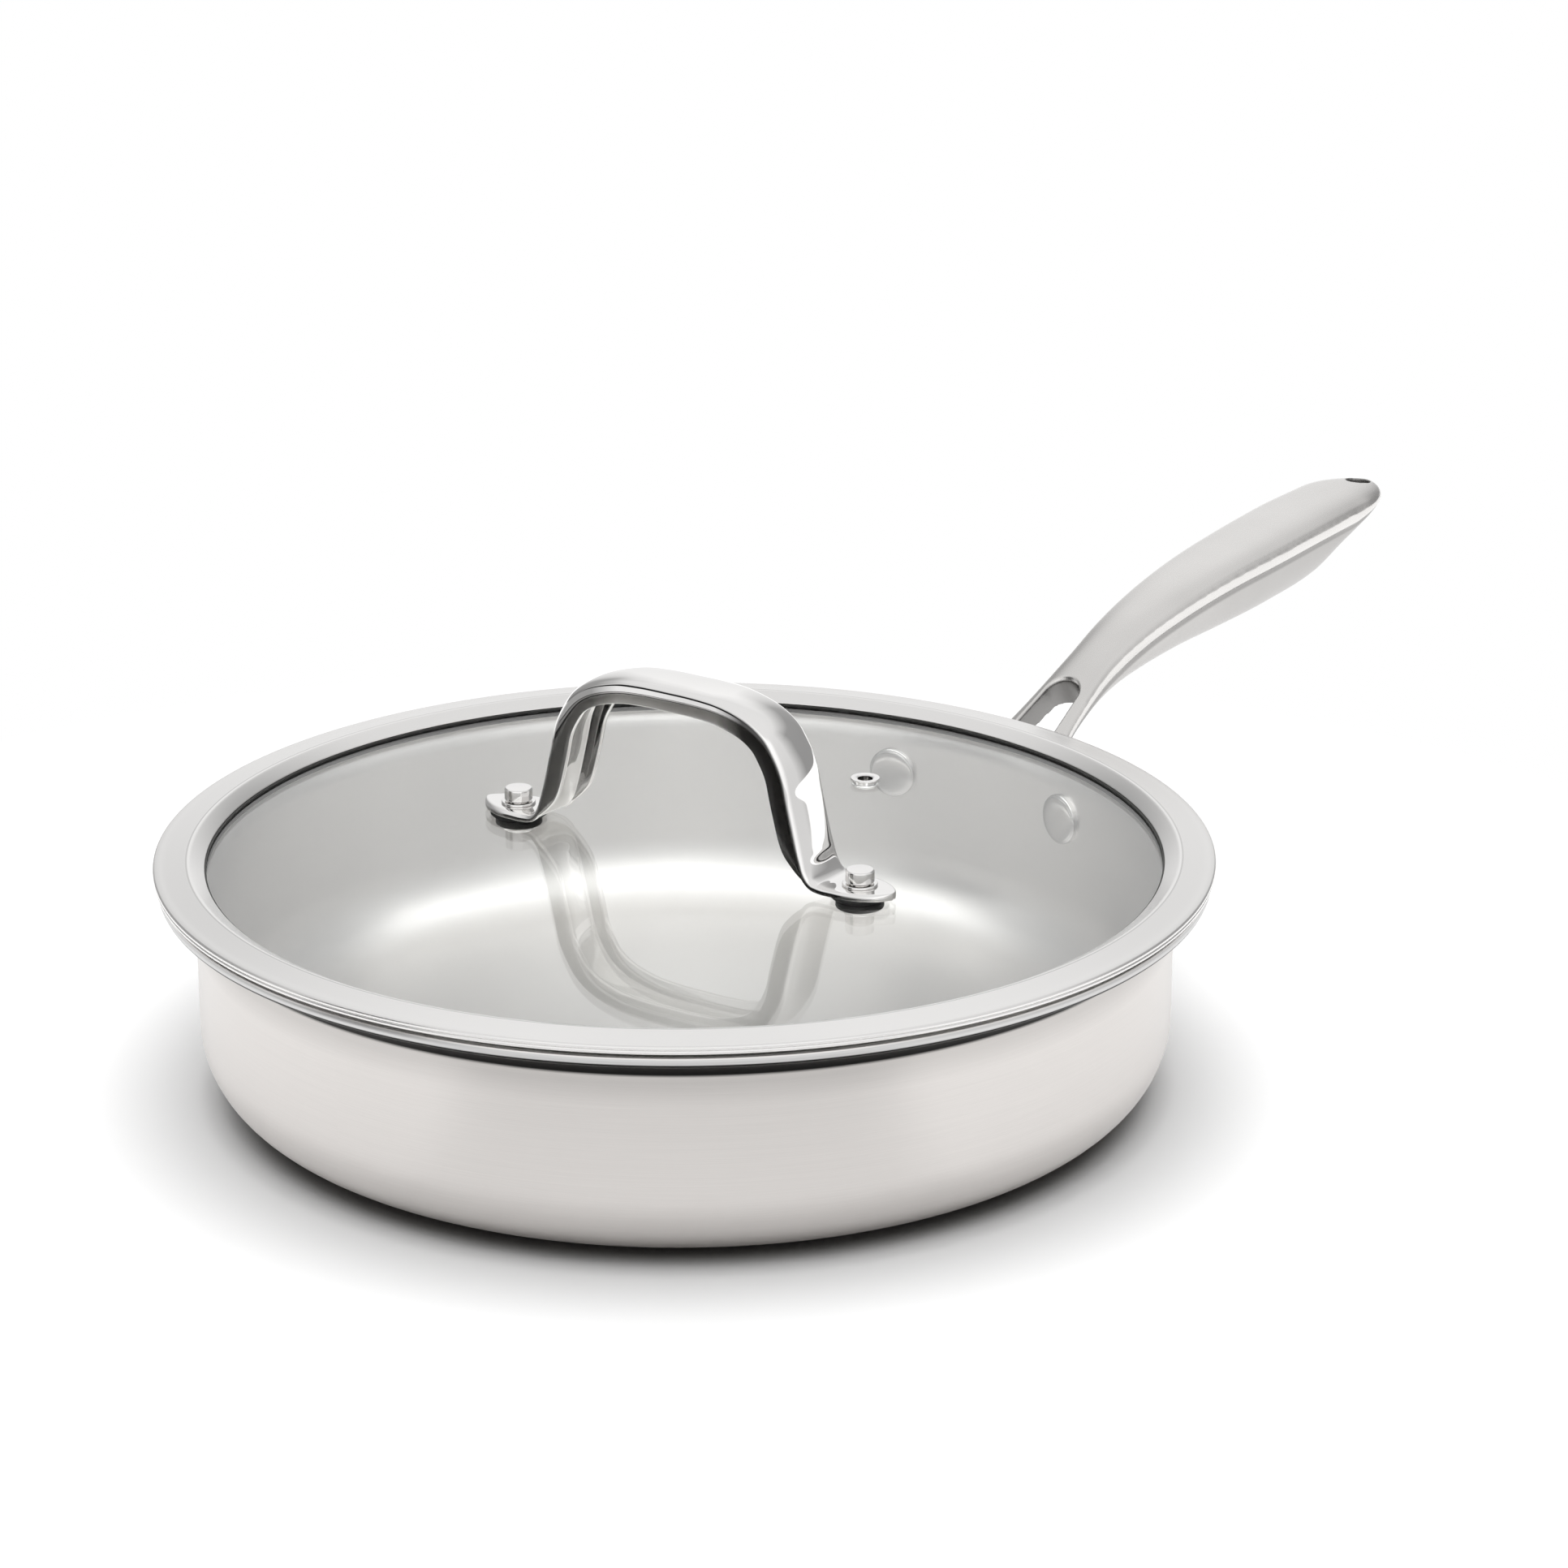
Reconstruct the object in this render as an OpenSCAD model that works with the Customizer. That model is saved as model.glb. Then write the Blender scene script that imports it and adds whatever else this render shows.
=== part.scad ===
// Frying pan with a flat glass lid, in millimetres.
// The origin is the centre of the underside of the base, +Z is up, +X points along the pan handle.

/* [Pan] */
// Inner diameter of the wall
pan_inner_d = 240; // [200:1:300]
// Height from the base to the top of the lip
pan_h = 58; // [52:0.5:90]
// Thickness of the inner steel layer
inner_skin_t = 0.5; // [0.4:0.1:0.8]
// Thickness of the aluminium core
core_t = 1.3; // [1:0.1:2]
// Thickness of the outer steel layer
outer_skin_t = 0.5; // [0.4:0.1:0.8]
// Radius between base and wall, on the outside
corner_r = 20; // [10:1:24]
// Radius of the flare under the lip, on the inside
flare_r = 8; // [7:0.5:10]
// Reach of the lip outwards from the inner face of the wall
lip_reach = 12; // [10:0.5:16]
// Slope of the lip above the horizontal, in degrees
lip_slope = 20; // [10:1:30]

/* [Pan handle] */
// Length of the handle beyond the wall
handle_len = 175; // [140:1:200]
// Rise from the rivets to the top of the grip
handle_rise = 54.4; // [40:0.5:60]
// Width of the grip at its widest
handle_w = 26.5; // [24:0.5:32]
// Height of the crowned top face over its side edge
crown_h = 3.2; // [2:0.1:5]
// Depth of the belly below the side edge at its deepest
belly_h = 18; // [14:0.5:22]
// Diameter of the hole for hanging
hang_d = 7; // [5:0.5:9]
// Distance from the centre of that hole to the tip
hang_edge = 5; // [5:0.5:14]
// Width of the open slot at the root
slot_w = 10.4; // [8:0.2:11]
// Length of the open slot
slot_len = 35; // [24:1:40]
// Metal left between the flange and the slot
slot_back = 4; // [3:0.5:6]
// Height of the flange on the wall
flange_h = 13; // [12:0.5:15]
// Thickness of the flange
flange_t = 3.5; // [3:0.1:4.5]

/* [Pan rivets] */
// Distance between the two rivets, straight across
rivet_pitch = 58; // [54:1:64]
// Depth of the rivets below the top of the lip
rivet_drop = 17; // [13:0.5:20]
// Diameter of the rivet shank
rivet_d = 6; // [5:0.5:7]
// Diameter of the head inside the pan
rivet_head_d = 13.5; // [12:0.5:16]
// Height of the head inside the pan
rivet_head_h = 2; // [1.5:0.1:3]
// Diameter of the head formed on the flange
rivet_tail_d = 10; // [9:0.5:12]
// Height of the head formed on the flange
rivet_tail_h = 1.8; // [1.2:0.1:3]

/* [Lid] */
// Turn of the lid on the pan, in degrees
lid_turn = 6; // [-20:1:20]
// Thickness of the glass
glass_t = 4; // [3:0.5:5]
// Thickness of the steel strip of the rim
strip_t = 0.5; // [0.4:0.1:0.8]
// Thickness of the gasket round the edge of the glass
gasket_t = 0.5; // [0.4:0.1:0.8]
// Width of gasket that shows inside the steel lip
gasket_show = 0.4; // [0.2:0.1:1]
// Reach of the glass channel outwards from the inner face of the pan wall
channel_reach = 2.7; // [2:0.1:4]
// Corner radius at the foot of the glass channel
channel_r = 0.8; // [0.5:0.1:1]
// Width over which the steel lip grips the glass
grip_w = 3; // [2:0.1:4]
// Width of the slope from the crest of the rim down to the glass
slope_w = 4; // [3.5:0.1:5]
// Drop of that slope
slope_h = 2; // [1.5:0.1:3]
// Height of the crest over the outer edge of the rim
crest_h = 1; // [0.5:0.1:2]
// Height of the rolled outer edge
bead_h = 2.2; // [1.8:0.1:3]
// Overhang of the rim past the lip of the pan
overhang = 0.5; // [0:0.1:2]

/* [Steam vent] */
// Distance of the vent from the centre of the lid
vent_reach = 73; // [55:1:80]
// Angle from the line of the lid handle, in degrees
vent_angle = 86; // [60:1:120]
// Diameter of the opening
vent_bore = 4; // [3:0.5:5]
// Diameter of the rolled flange
vent_flange_d = 8.4; // [8:0.2:10]
// Height of the rolled flange on the glass
vent_flange_h = 0.6; // [0.5:0.1:1.5]
// Wall of the eyelet
vent_wall = 0.7; // [0.5:0.1:1]

/* [Lid handle] */
// Distance between the two fixing holes
strap_pitch = 105.6; // [96:0.2:116]
// Height from the glass to the top of the arch
strap_h = 45; // [38:0.5:54]
// Width of the strap
strap_w = 15.5; // [14:0.5:18]
// Thickness of the sheet
strap_t = 1.6; // [1.2:0.1:2]
// Depth of the turned-in sides
strap_side = 5.7; // [3.6:0.1:7]
// Crown across the outer face of the arch
strap_crown = 1.2; // [0.6:0.1:2]
// Length of the foot beyond the fixing hole
strap_toe = 10; // [9:0.5:12]

/* [Lid fixings] */
// Diameter of the button
button_d = 7.2; // [6.4:0.2:9]
// Height of the button
button_h = 3.5; // [2.5:0.1:5]
// Diameter of the sleeve under the button
sleeve_d = 5; // [4.6:0.1:5.4]
// Diameter of the screw
screw_d = 3; // [2.5:0.1:3.5]
// Diameter of the screw head
screw_head_d = 9; // [8:0.5:11]
// Height of the screw head
screw_head_h = 2.2; // [1.6:0.1:3]
// Diameter of the washer under the button
washer_d = 8.8; // [8.2:0.2:11]
// Thickness of that washer
washer_t = 0.6; // [0.4:0.1:1]
// Diameter of the pad under the foot
pad_d = 15.5; // [13:0.5:18]
// Thickness of the pad
pad_t = 1; // [0.6:0.1:2]
// Diameter of the seal under the glass
seal_d = 12; // [10:0.5:15]
// Thickness of the seal
seal_t = 1.5; // [1:0.1:2.5]

/* [Clearances] */
// Gap between the lid and the flare it rests on
seat_gap = 0.3; // [0.2:0.05:0.6]
// Gap all round a shank in its hole
hole_gap = 0.1; // [0.05:0.05:0.3]
// Gap all round a sleeve or an eyelet in the glass
glass_gap = 0.3; // [0.1:0.05:0.6]

/* [Hidden] */

$fn = 96;
// Overrun of every cut past the faces it opens
over = 1;

// Wall of the pan, all layers
wall_t = inner_skin_t + core_t + outer_skin_t;
pan_r = pan_inner_d / 2;
pan_outer_r = pan_r + wall_t;
flare_angle = 90 - lip_slope;
// Length of the straight lip past the flare
lip_len = (lip_reach - flare_r * (1 - cos(flare_angle)) - wall_t * cos(flare_angle)) / sin(flare_angle);
lip_r = pan_r + lip_reach;
// Height at which the flare starts
flare_z = pan_h - flare_r * sin(flare_angle) - lip_len * cos(flare_angle);
corner_x = pan_outer_r - corner_r;

// Rivets stand square to the curved wall
rivet_z = pan_h - rivet_drop;
rivet_angle = asin(rivet_pitch / 2 / pan_r);
flange_r = pan_outer_r + flange_t;

// Lid heights are counted from the top of the rolled outer edge, lid_z over the base
glass_top = crest_h - slope_h - strip_t - gasket_t;
glass_low = glass_top - glass_t;
channel_low = glass_low - gasket_t - strip_t;
channel_out = pan_r + channel_reach;
gasket_out = channel_out - strip_t;
glass_r = gasket_out - gasket_t;
// The foot of the channel rests on the flare: both are round in section
seat_run = pan_r + flare_r - (channel_out - channel_r);
seat_rise = sqrt(pow(flare_r + channel_r + seat_gap, 2) - pow(seat_run, 2));
lid_z = flare_z + seat_rise - channel_r - channel_low;
lid_r = lip_r + overhang;
crest_r = gasket_out + strip_t + slope_w - grip_w;
rim_inner_r = crest_r - slope_w;

// Depth of the hollow under the feet of the strap, which stand on the pads on their edges
strap_hollow = 0.25;
foot_low = glass_top + pad_t;
foot_top = foot_low + strap_t + strap_hollow;
washer_top = foot_top + washer_t;
seal_low = glass_low - seal_t;
strap_x = strap_pitch / 2;
sleeve_hole_d = sleeve_d + 2 * hole_gap;
glass_hole_d = sleeve_d + 2 * glass_gap;
vent_hole_d = vent_bore + 2 * vent_wall + 2 * glass_gap;

// Handle stations: share of the length beyond the wall, share of the rise over the rivets,
// share of the half width, share of the crown, share of the belly
handle_shares = [
    [0.010, 0.120, 1.88, 0.60, 0.54],
    [0.030, 0.134, 1.49, 0.60, 0.52],
    [0.055, 0.172, 1.12, 0.60, 0.48],
    [0.090, 0.260, 0.85, 0.60, 0.41],
    [0.147, 0.376, 0.69, 0.60, 0.37],
    [0.233, 0.542, 0.59, 0.62, 0.53],
    [0.319, 0.671, 0.66, 0.72, 0.70],
    [0.416, 0.769, 0.77, 0.82, 0.83],
    [0.530, 0.849, 0.88, 0.92, 0.96],
    [0.656, 0.908, 0.97, 1.00, 1.00],
    [0.782, 0.957, 1.00, 1.00, 0.94],
    [0.860, 0.978, 0.98, 0.96, 0.64],
    [0.930, 0.989, 0.94, 0.86, 0.34],
    [1.000, 0.982, 0.87, 0.76, 0.24]];
// The tip is rounded over this share of the grip's half width
tip_share = 1.36;
handle_steps = 38;
tip_steps = 8;
// Last angle of the rounding at a tip, in degrees, which leaves a small flat end
tip_end = 84;
ring_steps = 18;
// Fullness of the grip's section over and under its side edge, 1 for an ellipse
crown_power = 0.85;
belly_power = 0.8;

// Tilt of the slot, square to the slope of the root, in degrees
slot_tilt = 31;
// Start of the slot beyond the wall
slot_start = flange_t + slot_back;
// Width of the slot at its start, as a share of its width at the far end
slot_flare_share = 1.5;
// Straight edge of a domed head, as a share of its height
head_edge_share = 0.4;
// Chamfer on the button
button_edge = 0.4;
// Depth to which the formed head bears on the curved flange
rivet_seat = rivet_tail_d * rivet_tail_d / 8 / flange_r * 2;
// Inner edge of the gasket, which shows past the steel lip
gasket_in = rim_inner_r - gasket_show;

// Strap stations over one half: share of the half pitch, share of the rise over the foot,
// share of the side depth, share of the crown
strap_shares = [
    [0.935, 0.000, 0.00, 0.0],
    [0.875, 0.000, 0.00, 0.0],
    [0.824, 0.014, 0.10, 0.1],
    [0.790, 0.062, 0.40, 0.4],
    [0.765, 0.145, 0.75, 0.8],
    [0.742, 0.240, 0.95, 1.0],
    [0.700, 0.450, 1.00, 1.0],
    [0.667, 0.620, 1.00, 1.0],
    [0.621, 0.739, 1.00, 1.0],
    [0.557, 0.845, 1.00, 1.0],
    [0.453, 0.927, 1.00, 1.0],
    [0.303, 0.981, 1.00, 1.0],
    [0.152, 0.998, 1.00, 1.0],
    [0.000, 1.000, 1.00, 1.0]];
// The toe of each foot starts to narrow at this share of its length before the hole
toe_share = 0.28;
toe_steps = 7;
// Last angle of the rounding at a toe, in degrees, which leaves it blunt
toe_end = 70;
// Fullness of the toe's outline, 0.5 for an ellipse
toe_power = 0.6;
strap_steps = 26;
edge_steps = 5;
// Rounding of the strap's outer edges, as a share of the sheet
edge_share = 0.75;
// The same on its hollow side, as a share of the outer rounding
inner_edge_share = 0.33;
// Sharpness of that rounding, the power of the share of the width
edge_power = 8;

strap_rise = strap_h + glass_top - foot_top;

// Slope of column c of a table over column k at row i
function slope(tab, i, k, c) =
    let (a = max(i - 1, 0), b = min(i + 1, len(tab) - 1))
    (tab[b][c] - tab[a][c]) / (tab[b][k] - tab[a][k]);

// Row below the value x in column k of a rising table
function row_at(tab, x, k, i = 0) =
    i >= len(tab) - 2 || tab[i + 1][k] >= x ? i : row_at(tab, x, k, i + 1);

// Cubic from p to q with the end slopes a and b
function cubic(p, q, a, b, t) =
    p + a * t + (3 * (q - p) - 2 * a - b) * t * t + (2 * (p - q) + a + b) * t * t * t;

// Smooth curve through column c of a table, over the rising column k
function smooth(tab, x, k, c) =
    let (i = row_at(tab, x, k), h = tab[i + 1][k] - tab[i][k])
    cubic(tab[i][c], tab[i + 1][c], slope(tab, i, k, c) * h, slope(tab, i + 1, k, c) * h,
        (x - tab[i][k]) / h);

// Smooth curve through column c of a table, over the row number u
function along(tab, u, c) =
    let (n = len(tab), i = min(floor(u), n - 2),
        p = tab[max(i - 1, 0)][c], q = tab[i][c], r = tab[i + 1][c], s = tab[min(i + 2, n - 1)][c])
    cubic(q, r, (r - p) / 2, (s - q) / 2, u - i);

// Closed skin over rings of n points in order, an even number; each end is closed by strips
// between the points j and n - 1 - j, which face each other
module skin(rings) {
    n = len(rings[0]);
    m = len(rings);
    end = (m - 1) * n;
    polyhedron(
        points = [for (ring = rings, p = ring) p],
        faces = concat(
            [for (i = [0:m - 2], j = [0:n - 1]) [i * n + j, (i + 1) * n + j, i * n + (j + 1) % n]],
            [for (i = [0:m - 2], j = [0:n - 1])
                [i * n + (j + 1) % n, (i + 1) * n + j, (i + 1) * n + (j + 1) % n]],
            [for (j = [0:n / 2 - 2]) [j, j + 1, n - 2 - j]],
            [for (j = [0:n / 2 - 2]) [j, n - 2 - j, n - 1 - j]],
            [for (j = [0:n / 2 - 2]) [end + j, end + n - 2 - j, end + j + 1]],
            [for (j = [0:n / 2 - 2]) [end + j, end + n - 1 - j, end + n - 2 - j]]));
}

// Space inside the surface that lies d under the inner face of the pan, to be turned about Z
module space_inside(d) {
    translate([0, wall_t - d]) square([corner_x, pan_h]);
    translate([corner_x, corner_r]) circle(r = corner_r - wall_t + d);
    translate([0, corner_r]) square([pan_r + d, pan_h]);
    difference() {
        translate([0, corner_r]) square([lip_r + over, pan_h]);
        translate([pan_r + d, 0]) square([lip_r, flare_z]);
        on_flare() {
            circle(r = flare_r - d);
            translate([d - flare_r, 0]) square(lip_r);
        }
    }
}

// Places its children at the centre of the flare, with Y along the lip
module on_flare() {
    translate([pan_r + flare_r, flare_z]) rotate(-flare_angle) children();
}

// Stands its children, drawn along +Z from the axis of the pan, on one rivet
module at_rivet(side) {
    translate([0, 0, rivet_z]) rotate([0, 0, side * rivet_angle]) rotate([0, 90, 0]) children();
}

module rivet_bores() {
    for (side = [-1, 1]) at_rivet(side)
        translate([0, 0, pan_r - corner_r]) cylinder(d = rivet_d + 2 * hole_gap, h = 2 * corner_r);
}

// Layer of the pan between the depths a and b under its inner face
module wall_layer(a, b) {
    difference() {
        rotate_extrude() difference() {
            space_inside(b);
            space_inside(a);
            on_flare() translate([-lip_r, lip_len]) square(2 * lip_r);
        }
        rivet_bores();
    }
}

module pan_inner_layer() {
    color("gainsboro") wall_layer(0, inner_skin_t);
}

module pan_core() {
    color("darkgray") wall_layer(inner_skin_t, inner_skin_t + core_t);
}

module pan_outer_layer() {
    color("silver") wall_layer(inner_skin_t + core_t, wall_t);
}

// Button-shaped head of diameter d and height h, standing on z = 0
module dome(d, h, edge) {
    cap = h - edge;
    cap_r = (cap * cap + d * d / 4) / (2 * cap);
    rotate_extrude() {
        square([d / 2, edge]);
        intersection() {
            translate([0, h - cap_r]) circle(r = cap_r);
            translate([0, edge]) square([d / 2, cap]);
        }
    }
}

module rivet(side) {
    color("silver") union() {
        intersection() {
            at_rivet(side) translate([0, 0, pan_r]) mirror([0, 0, 1])
                dome(rivet_head_d, rivet_head_h, rivet_head_h * head_edge_share);
            translate([0, 0, rivet_z - rivet_head_d]) cylinder(r = pan_r, h = 2 * rivet_head_d);
        }
        at_rivet(side) translate([0, 0, pan_r - rivet_head_h / 2])
            cylinder(d = rivet_d, h = wall_t + flange_t + (rivet_head_h + rivet_tail_h) / 2);
        difference() {
            at_rivet(side) translate([0, 0, flange_r - rivet_seat])
                dome(rivet_tail_d, rivet_tail_h + rivet_seat, rivet_tail_h * head_edge_share);
            translate([0, 0, rivet_z - rivet_tail_d]) cylinder(r = flange_r, h = 2 * rivet_tail_d);
        }
    }
}

// Outline of the flange across the wall, a bar with round ends
module flange_outline() {
    square([rivet_pitch, flange_h], center = true);
    for (side = [-1, 1]) translate([side * rivet_pitch / 2, 0]) circle(d = flange_h);
}

// Curved plate on the wall, shaped to clear the flare above it
module flange() {
    difference() {
        intersection() {
            translate([0, 0, rivet_z - flange_h]) cylinder(r = flange_r, h = 2 * flange_h);
            translate([0, 0, rivet_z]) rotate([90, 0, 90]) linear_extrude(flange_r + over)
                flange_outline();
        }
        translate([0, 0, rivet_z - 2 * flange_h]) cylinder(r = pan_outer_r, h = 4 * flange_h);
        translate([0, 0, flare_z]) rotate_extrude() difference() {
            square([pan_r + flare_r, flare_r]);
            translate([pan_r + flare_r, 0]) circle(r = flare_r - wall_t - seat_gap);
        }
    }
}

// Rounding of the tip at the distance x from the wall, 1 before it starts
function tip_round(x) =
    let (run = handle_w / 2 * tip_share, t = max(0, (x - handle_len + run) / run))
    sqrt(max(0, 1 - t * t));

function grip_height(x) = handle_rise * smooth(handle_shares, x / handle_len, 0, 1);

// One section of the grip, across its own slope
function grip_ring(x) =
    let (share = x / handle_len, k = tip_round(x),
        step = handle_len / handle_steps / 4,
        pitch = atan2(grip_height(min(x + step, handle_len)) - grip_height(x - step),
            min(x + step, handle_len) - x + step),
        w = handle_w / 2 * smooth(handle_shares, share, 0, 2) * k,
        c = crown_h * smooth(handle_shares, share, 0, 3),
        b = belly_h * smooth(handle_shares, share, 0, 4) * sqrt(k))
    [for (j = [0:2 * ring_steps - 1])
        let (a = 180 * j / ring_steps,
            y = w * sign(cos(a)) * pow(abs(cos(a)), j < ring_steps ? crown_power : belly_power),
            o = j < ring_steps ? c * sqrt(k) * sin(a) - c : b * sin(a) - c)
        [pan_outer_r + x - o * sin(pitch), y, rivet_z + grip_height(x) + o * cos(pitch)]];

// Distances of the grip's sections from the wall, closer together round the tip
function grip_places() =
    let (start = handle_len * handle_shares[0][0], tip = handle_len - handle_w / 2 * tip_share)
    concat([for (i = [0:handle_steps - 1]) start + (tip - start) * i / handle_steps],
        [for (i = [0:tip_steps]) tip + (handle_len - tip) * sin(tip_end * i / tip_steps)]);

module slot() {
    translate([pan_outer_r, 0, rivet_z]) rotate([0, -slot_tilt, 0]) translate([0, 0, -handle_w])
        linear_extrude(3 * handle_w) {
            translate([slot_start + slot_len - slot_w / 2, 0]) circle(d = slot_w);
            polygon([[slot_start, -slot_w / 2 * slot_flare_share],
                [slot_start + slot_len - slot_w / 2, -slot_w / 2],
                [slot_start + slot_len - slot_w / 2, slot_w / 2],
                [slot_start, slot_w / 2 * slot_flare_share]]);
        }
}

module pan_handle() {
    color("lightgray") difference() {
        union() {
            flange();
            skin([for (x = grip_places()) grip_ring(x)]);
        }
        slot();
        rivet_bores();
        translate([pan_outer_r + handle_len - hang_edge, 0, rivet_z])
            cylinder(d = hang_d, h = handle_rise + over);
    }
}

module rivet_left() {
    rivet(1);
}

module rivet_right() {
    rivet(-1);
}

// Places the lid on the pan, with the line of its handle along X
module on_lid() {
    translate([0, 0, lid_z]) rotate([0, 0, lid_turn - 90]) children();
}

// Ring of inner diameter bore, outer diameter d and height h, from z = 0 up
module disc(d, bore, h) {
    rotate_extrude() translate([bore / 2, 0]) square([(d - bore) / 2, h]);
}

module at_vent() {
    rotate([0, 0, vent_angle]) translate([vent_reach, 0, 0]) children();
}

module lid_glass() {
    color("azure", 0.4) on_lid() difference() {
        translate([0, 0, glass_low]) cylinder(r = glass_r, h = glass_t);
        for (side = [-1, 1]) translate([side * strap_x, 0, glass_low - over])
            cylinder(d = glass_hole_d, h = glass_t + 2 * over);
        at_vent() translate([0, 0, glass_low - over]) cylinder(d = vent_hole_d, h = glass_t + 2 * over);
    }
}

// Height of the top of the rim's slope at the radius r
function slope_top(r) = crest_h - slope_h * (crest_r - r) / slope_w;

// Rubber channel round the edge of the glass, its top following the slope of the rim
module lid_gasket() {
    color("dimgray") on_lid() rotate_extrude() polygon([
        [gasket_in, slope_top(rim_inner_r) - strip_t],
        [rim_inner_r, slope_top(rim_inner_r) - strip_t],
        [gasket_out, slope_top(gasket_out) - strip_t],
        [gasket_out, channel_low + strip_t],
        [gasket_in, channel_low + strip_t],
        [gasket_in, glass_low],
        [glass_r, glass_low],
        [glass_r, glass_top],
        [gasket_in, glass_top]]);
}

// Rim formed from one strip: rolled outer edge, doubled flange, lip over the glass, channel under it
module rim_section() {
    bead_x = lid_r - bead_h / 2;
    wall_top = slope_top(gasket_out) - strip_t / 2;
    translate([bead_x, -bead_h / 2]) circle(r = bead_h / 2);
    polygon([[bead_x, 0], [crest_r, crest_h], [channel_out, slope_top(channel_out)],
        [channel_out, slope_top(channel_out) - 2 * strip_t], [crest_r, crest_h - 2 * strip_t],
        [bead_x, -2 * strip_t]]);
    polygon([[crest_r, crest_h], [rim_inner_r, slope_top(rim_inner_r)],
        [rim_inner_r, slope_top(rim_inner_r) - strip_t], [crest_r, crest_h - strip_t]]);
    difference() {
        union() {
            translate([channel_out - channel_r, channel_low + channel_r]) circle(r = channel_r);
            translate([rim_inner_r, channel_low])
                square([channel_out - channel_r - rim_inner_r, channel_r]);
            translate([gasket_out, channel_low + channel_r])
                square([strip_t, wall_top - channel_low - channel_r]);
        }
        translate([rim_inner_r - over, channel_low + strip_t])
            square([gasket_out - rim_inner_r + over, wall_top - channel_low]);
    }
}

module lid_ring() {
    color("whitesmoke") on_lid() rotate_extrude() rim_section();
}

module steam_vent() {
    color("silver") on_lid() at_vent() rotate_extrude() {
        translate([vent_bore / 2, glass_low - vent_flange_h])
            square([vent_wall, glass_t + 2 * vent_flange_h]);
        for (z = [glass_low - vent_flange_h, glass_top]) {
            translate([vent_bore / 2, z])
                square([(vent_flange_d - vent_bore - vent_flange_h) / 2, vent_flange_h]);
            translate([(vent_flange_d - vent_flange_h) / 2, z + vent_flange_h / 2])
                circle(d = vent_flange_h);
        }
    }
}

// Stations of the strap from the toe to the top: place, height, side depth, crown, half width
function strap_half() =
    let (n = len(strap_shares) - 1, toe = strap_toe * (1 + toe_share))
    concat(
        [for (i = [0:toe_steps]) let (t = sin(toe_end * (1 - i / toe_steps)))
            [strap_x + strap_toe - toe * (1 - t), 0, 0, 0, strap_w / 2 * pow(1 - t * t, toe_power)]],
        [for (i = [0:strap_steps]) let (u = n * i / strap_steps)
            [strap_x * along(strap_shares, u, 0), strap_rise * along(strap_shares, u, 1),
                strap_side * along(strap_shares, u, 2), strap_crown * along(strap_shares, u, 3),
                strap_w / 2]]);

// Section of the strap: half width w, side depth s, crown c; a hollow channel with round edges
function strap_ring(w, s, c) =
    let (deep = max(s, strap_t + strap_hollow), edge = strap_t * edge_share,
        wi = w - min(strap_t, w / 3), inner_edge = min(edge, deep - strap_t) * inner_edge_share)
    concat(
        [[-w, -deep]],
        [for (k = [-edge_steps:edge_steps]) let (y = sin(90 * k / edge_steps))
            [w * y, c * (1 - y * y) - edge * (1 - sqrt(1 - pow(y, edge_power)))]],
        [[w, -deep], [wi, -deep]],
        [for (k = [edge_steps:-1:-edge_steps]) let (y = sin(90 * k / edge_steps))
            [wi * y, c * (1 - y * y) - strap_t - inner_edge * (1 - sqrt(1 - pow(y, edge_power)))]],
        [[-wi, -deep]]);

module strap() {
    half = strap_half();
    top = len(half) - 1;
    path = concat([for (i = [0:top]) [-half[i][0], each [for (k = [1:4]) half[i][k]]]],
        [for (i = [top - 1:-1:0]) half[i]]);
    last = len(path) - 1;
    skin([for (i = [0:last])
        let (p = path[max(i - 1, 0)], q = path[min(i + 1, last)],
            run = norm([q[0] - p[0], q[1] - p[1]]),
            nx = (p[1] - q[1]) / run, nz = (q[0] - p[0]) / run, s = path[i])
        [for (v = strap_ring(s[4], s[2], s[3])) [s[0] + v[1] * nx, v[0], s[1] + v[1] * nz]]]);
}

module lid_handle() {
    color("whitesmoke") on_lid() translate([0, 0, foot_top]) difference() {
        strap();
        for (side = [-1, 1]) translate([side * strap_x, 0, -strap_t - over])
            cylinder(d = sleeve_hole_d, h = strap_t + 2 * over);
    }
}

module pad(side) {
    color("black") on_lid() translate([side * strap_x, 0, glass_top])
        disc(pad_d, sleeve_hole_d, pad_t);
}

module washer(side) {
    color("silver") on_lid() translate([side * strap_x, 0, foot_top])
        disc(washer_d, sleeve_hole_d, washer_t);
}

// Button on top of the washer, with a sleeve through the foot and the glass, open below for the screw
module button(side) {
    sleeve_low = seal_low + hole_gap;
    bore_r = screw_d / 2 + hole_gap;
    color("silver") on_lid() translate([side * strap_x, 0, 0]) rotate_extrude() polygon([
        [bore_r, sleeve_low], [sleeve_d / 2, sleeve_low], [sleeve_d / 2, washer_top],
        [button_d / 2, washer_top], [button_d / 2, washer_top + button_h - button_edge],
        [button_d / 2 - button_edge, washer_top + button_h], [0, washer_top + button_h],
        [0, washer_top + button_h / 2], [bore_r, washer_top + button_h / 2]]);
}

module seal(side) {
    color("dimgray") on_lid() translate([side * strap_x, 0, seal_low])
        disc(seal_d, sleeve_hole_d, seal_t);
}

module screw(side) {
    color("silver") on_lid() translate([side * strap_x, 0, seal_low]) {
        mirror([0, 0, 1]) dome(screw_head_d, screw_head_h, screw_head_h * head_edge_share);
        cylinder(d = screw_d, h = washer_top - seal_low);
    }
}

module pad_left() {
    pad(-1);
}

module pad_right() {
    pad(1);
}

module washer_left() {
    washer(-1);
}

module washer_right() {
    washer(1);
}

module button_left() {
    button(-1);
}

module button_right() {
    button(1);
}

module seal_left() {
    seal(-1);
}

module seal_right() {
    seal(1);
}

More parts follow.
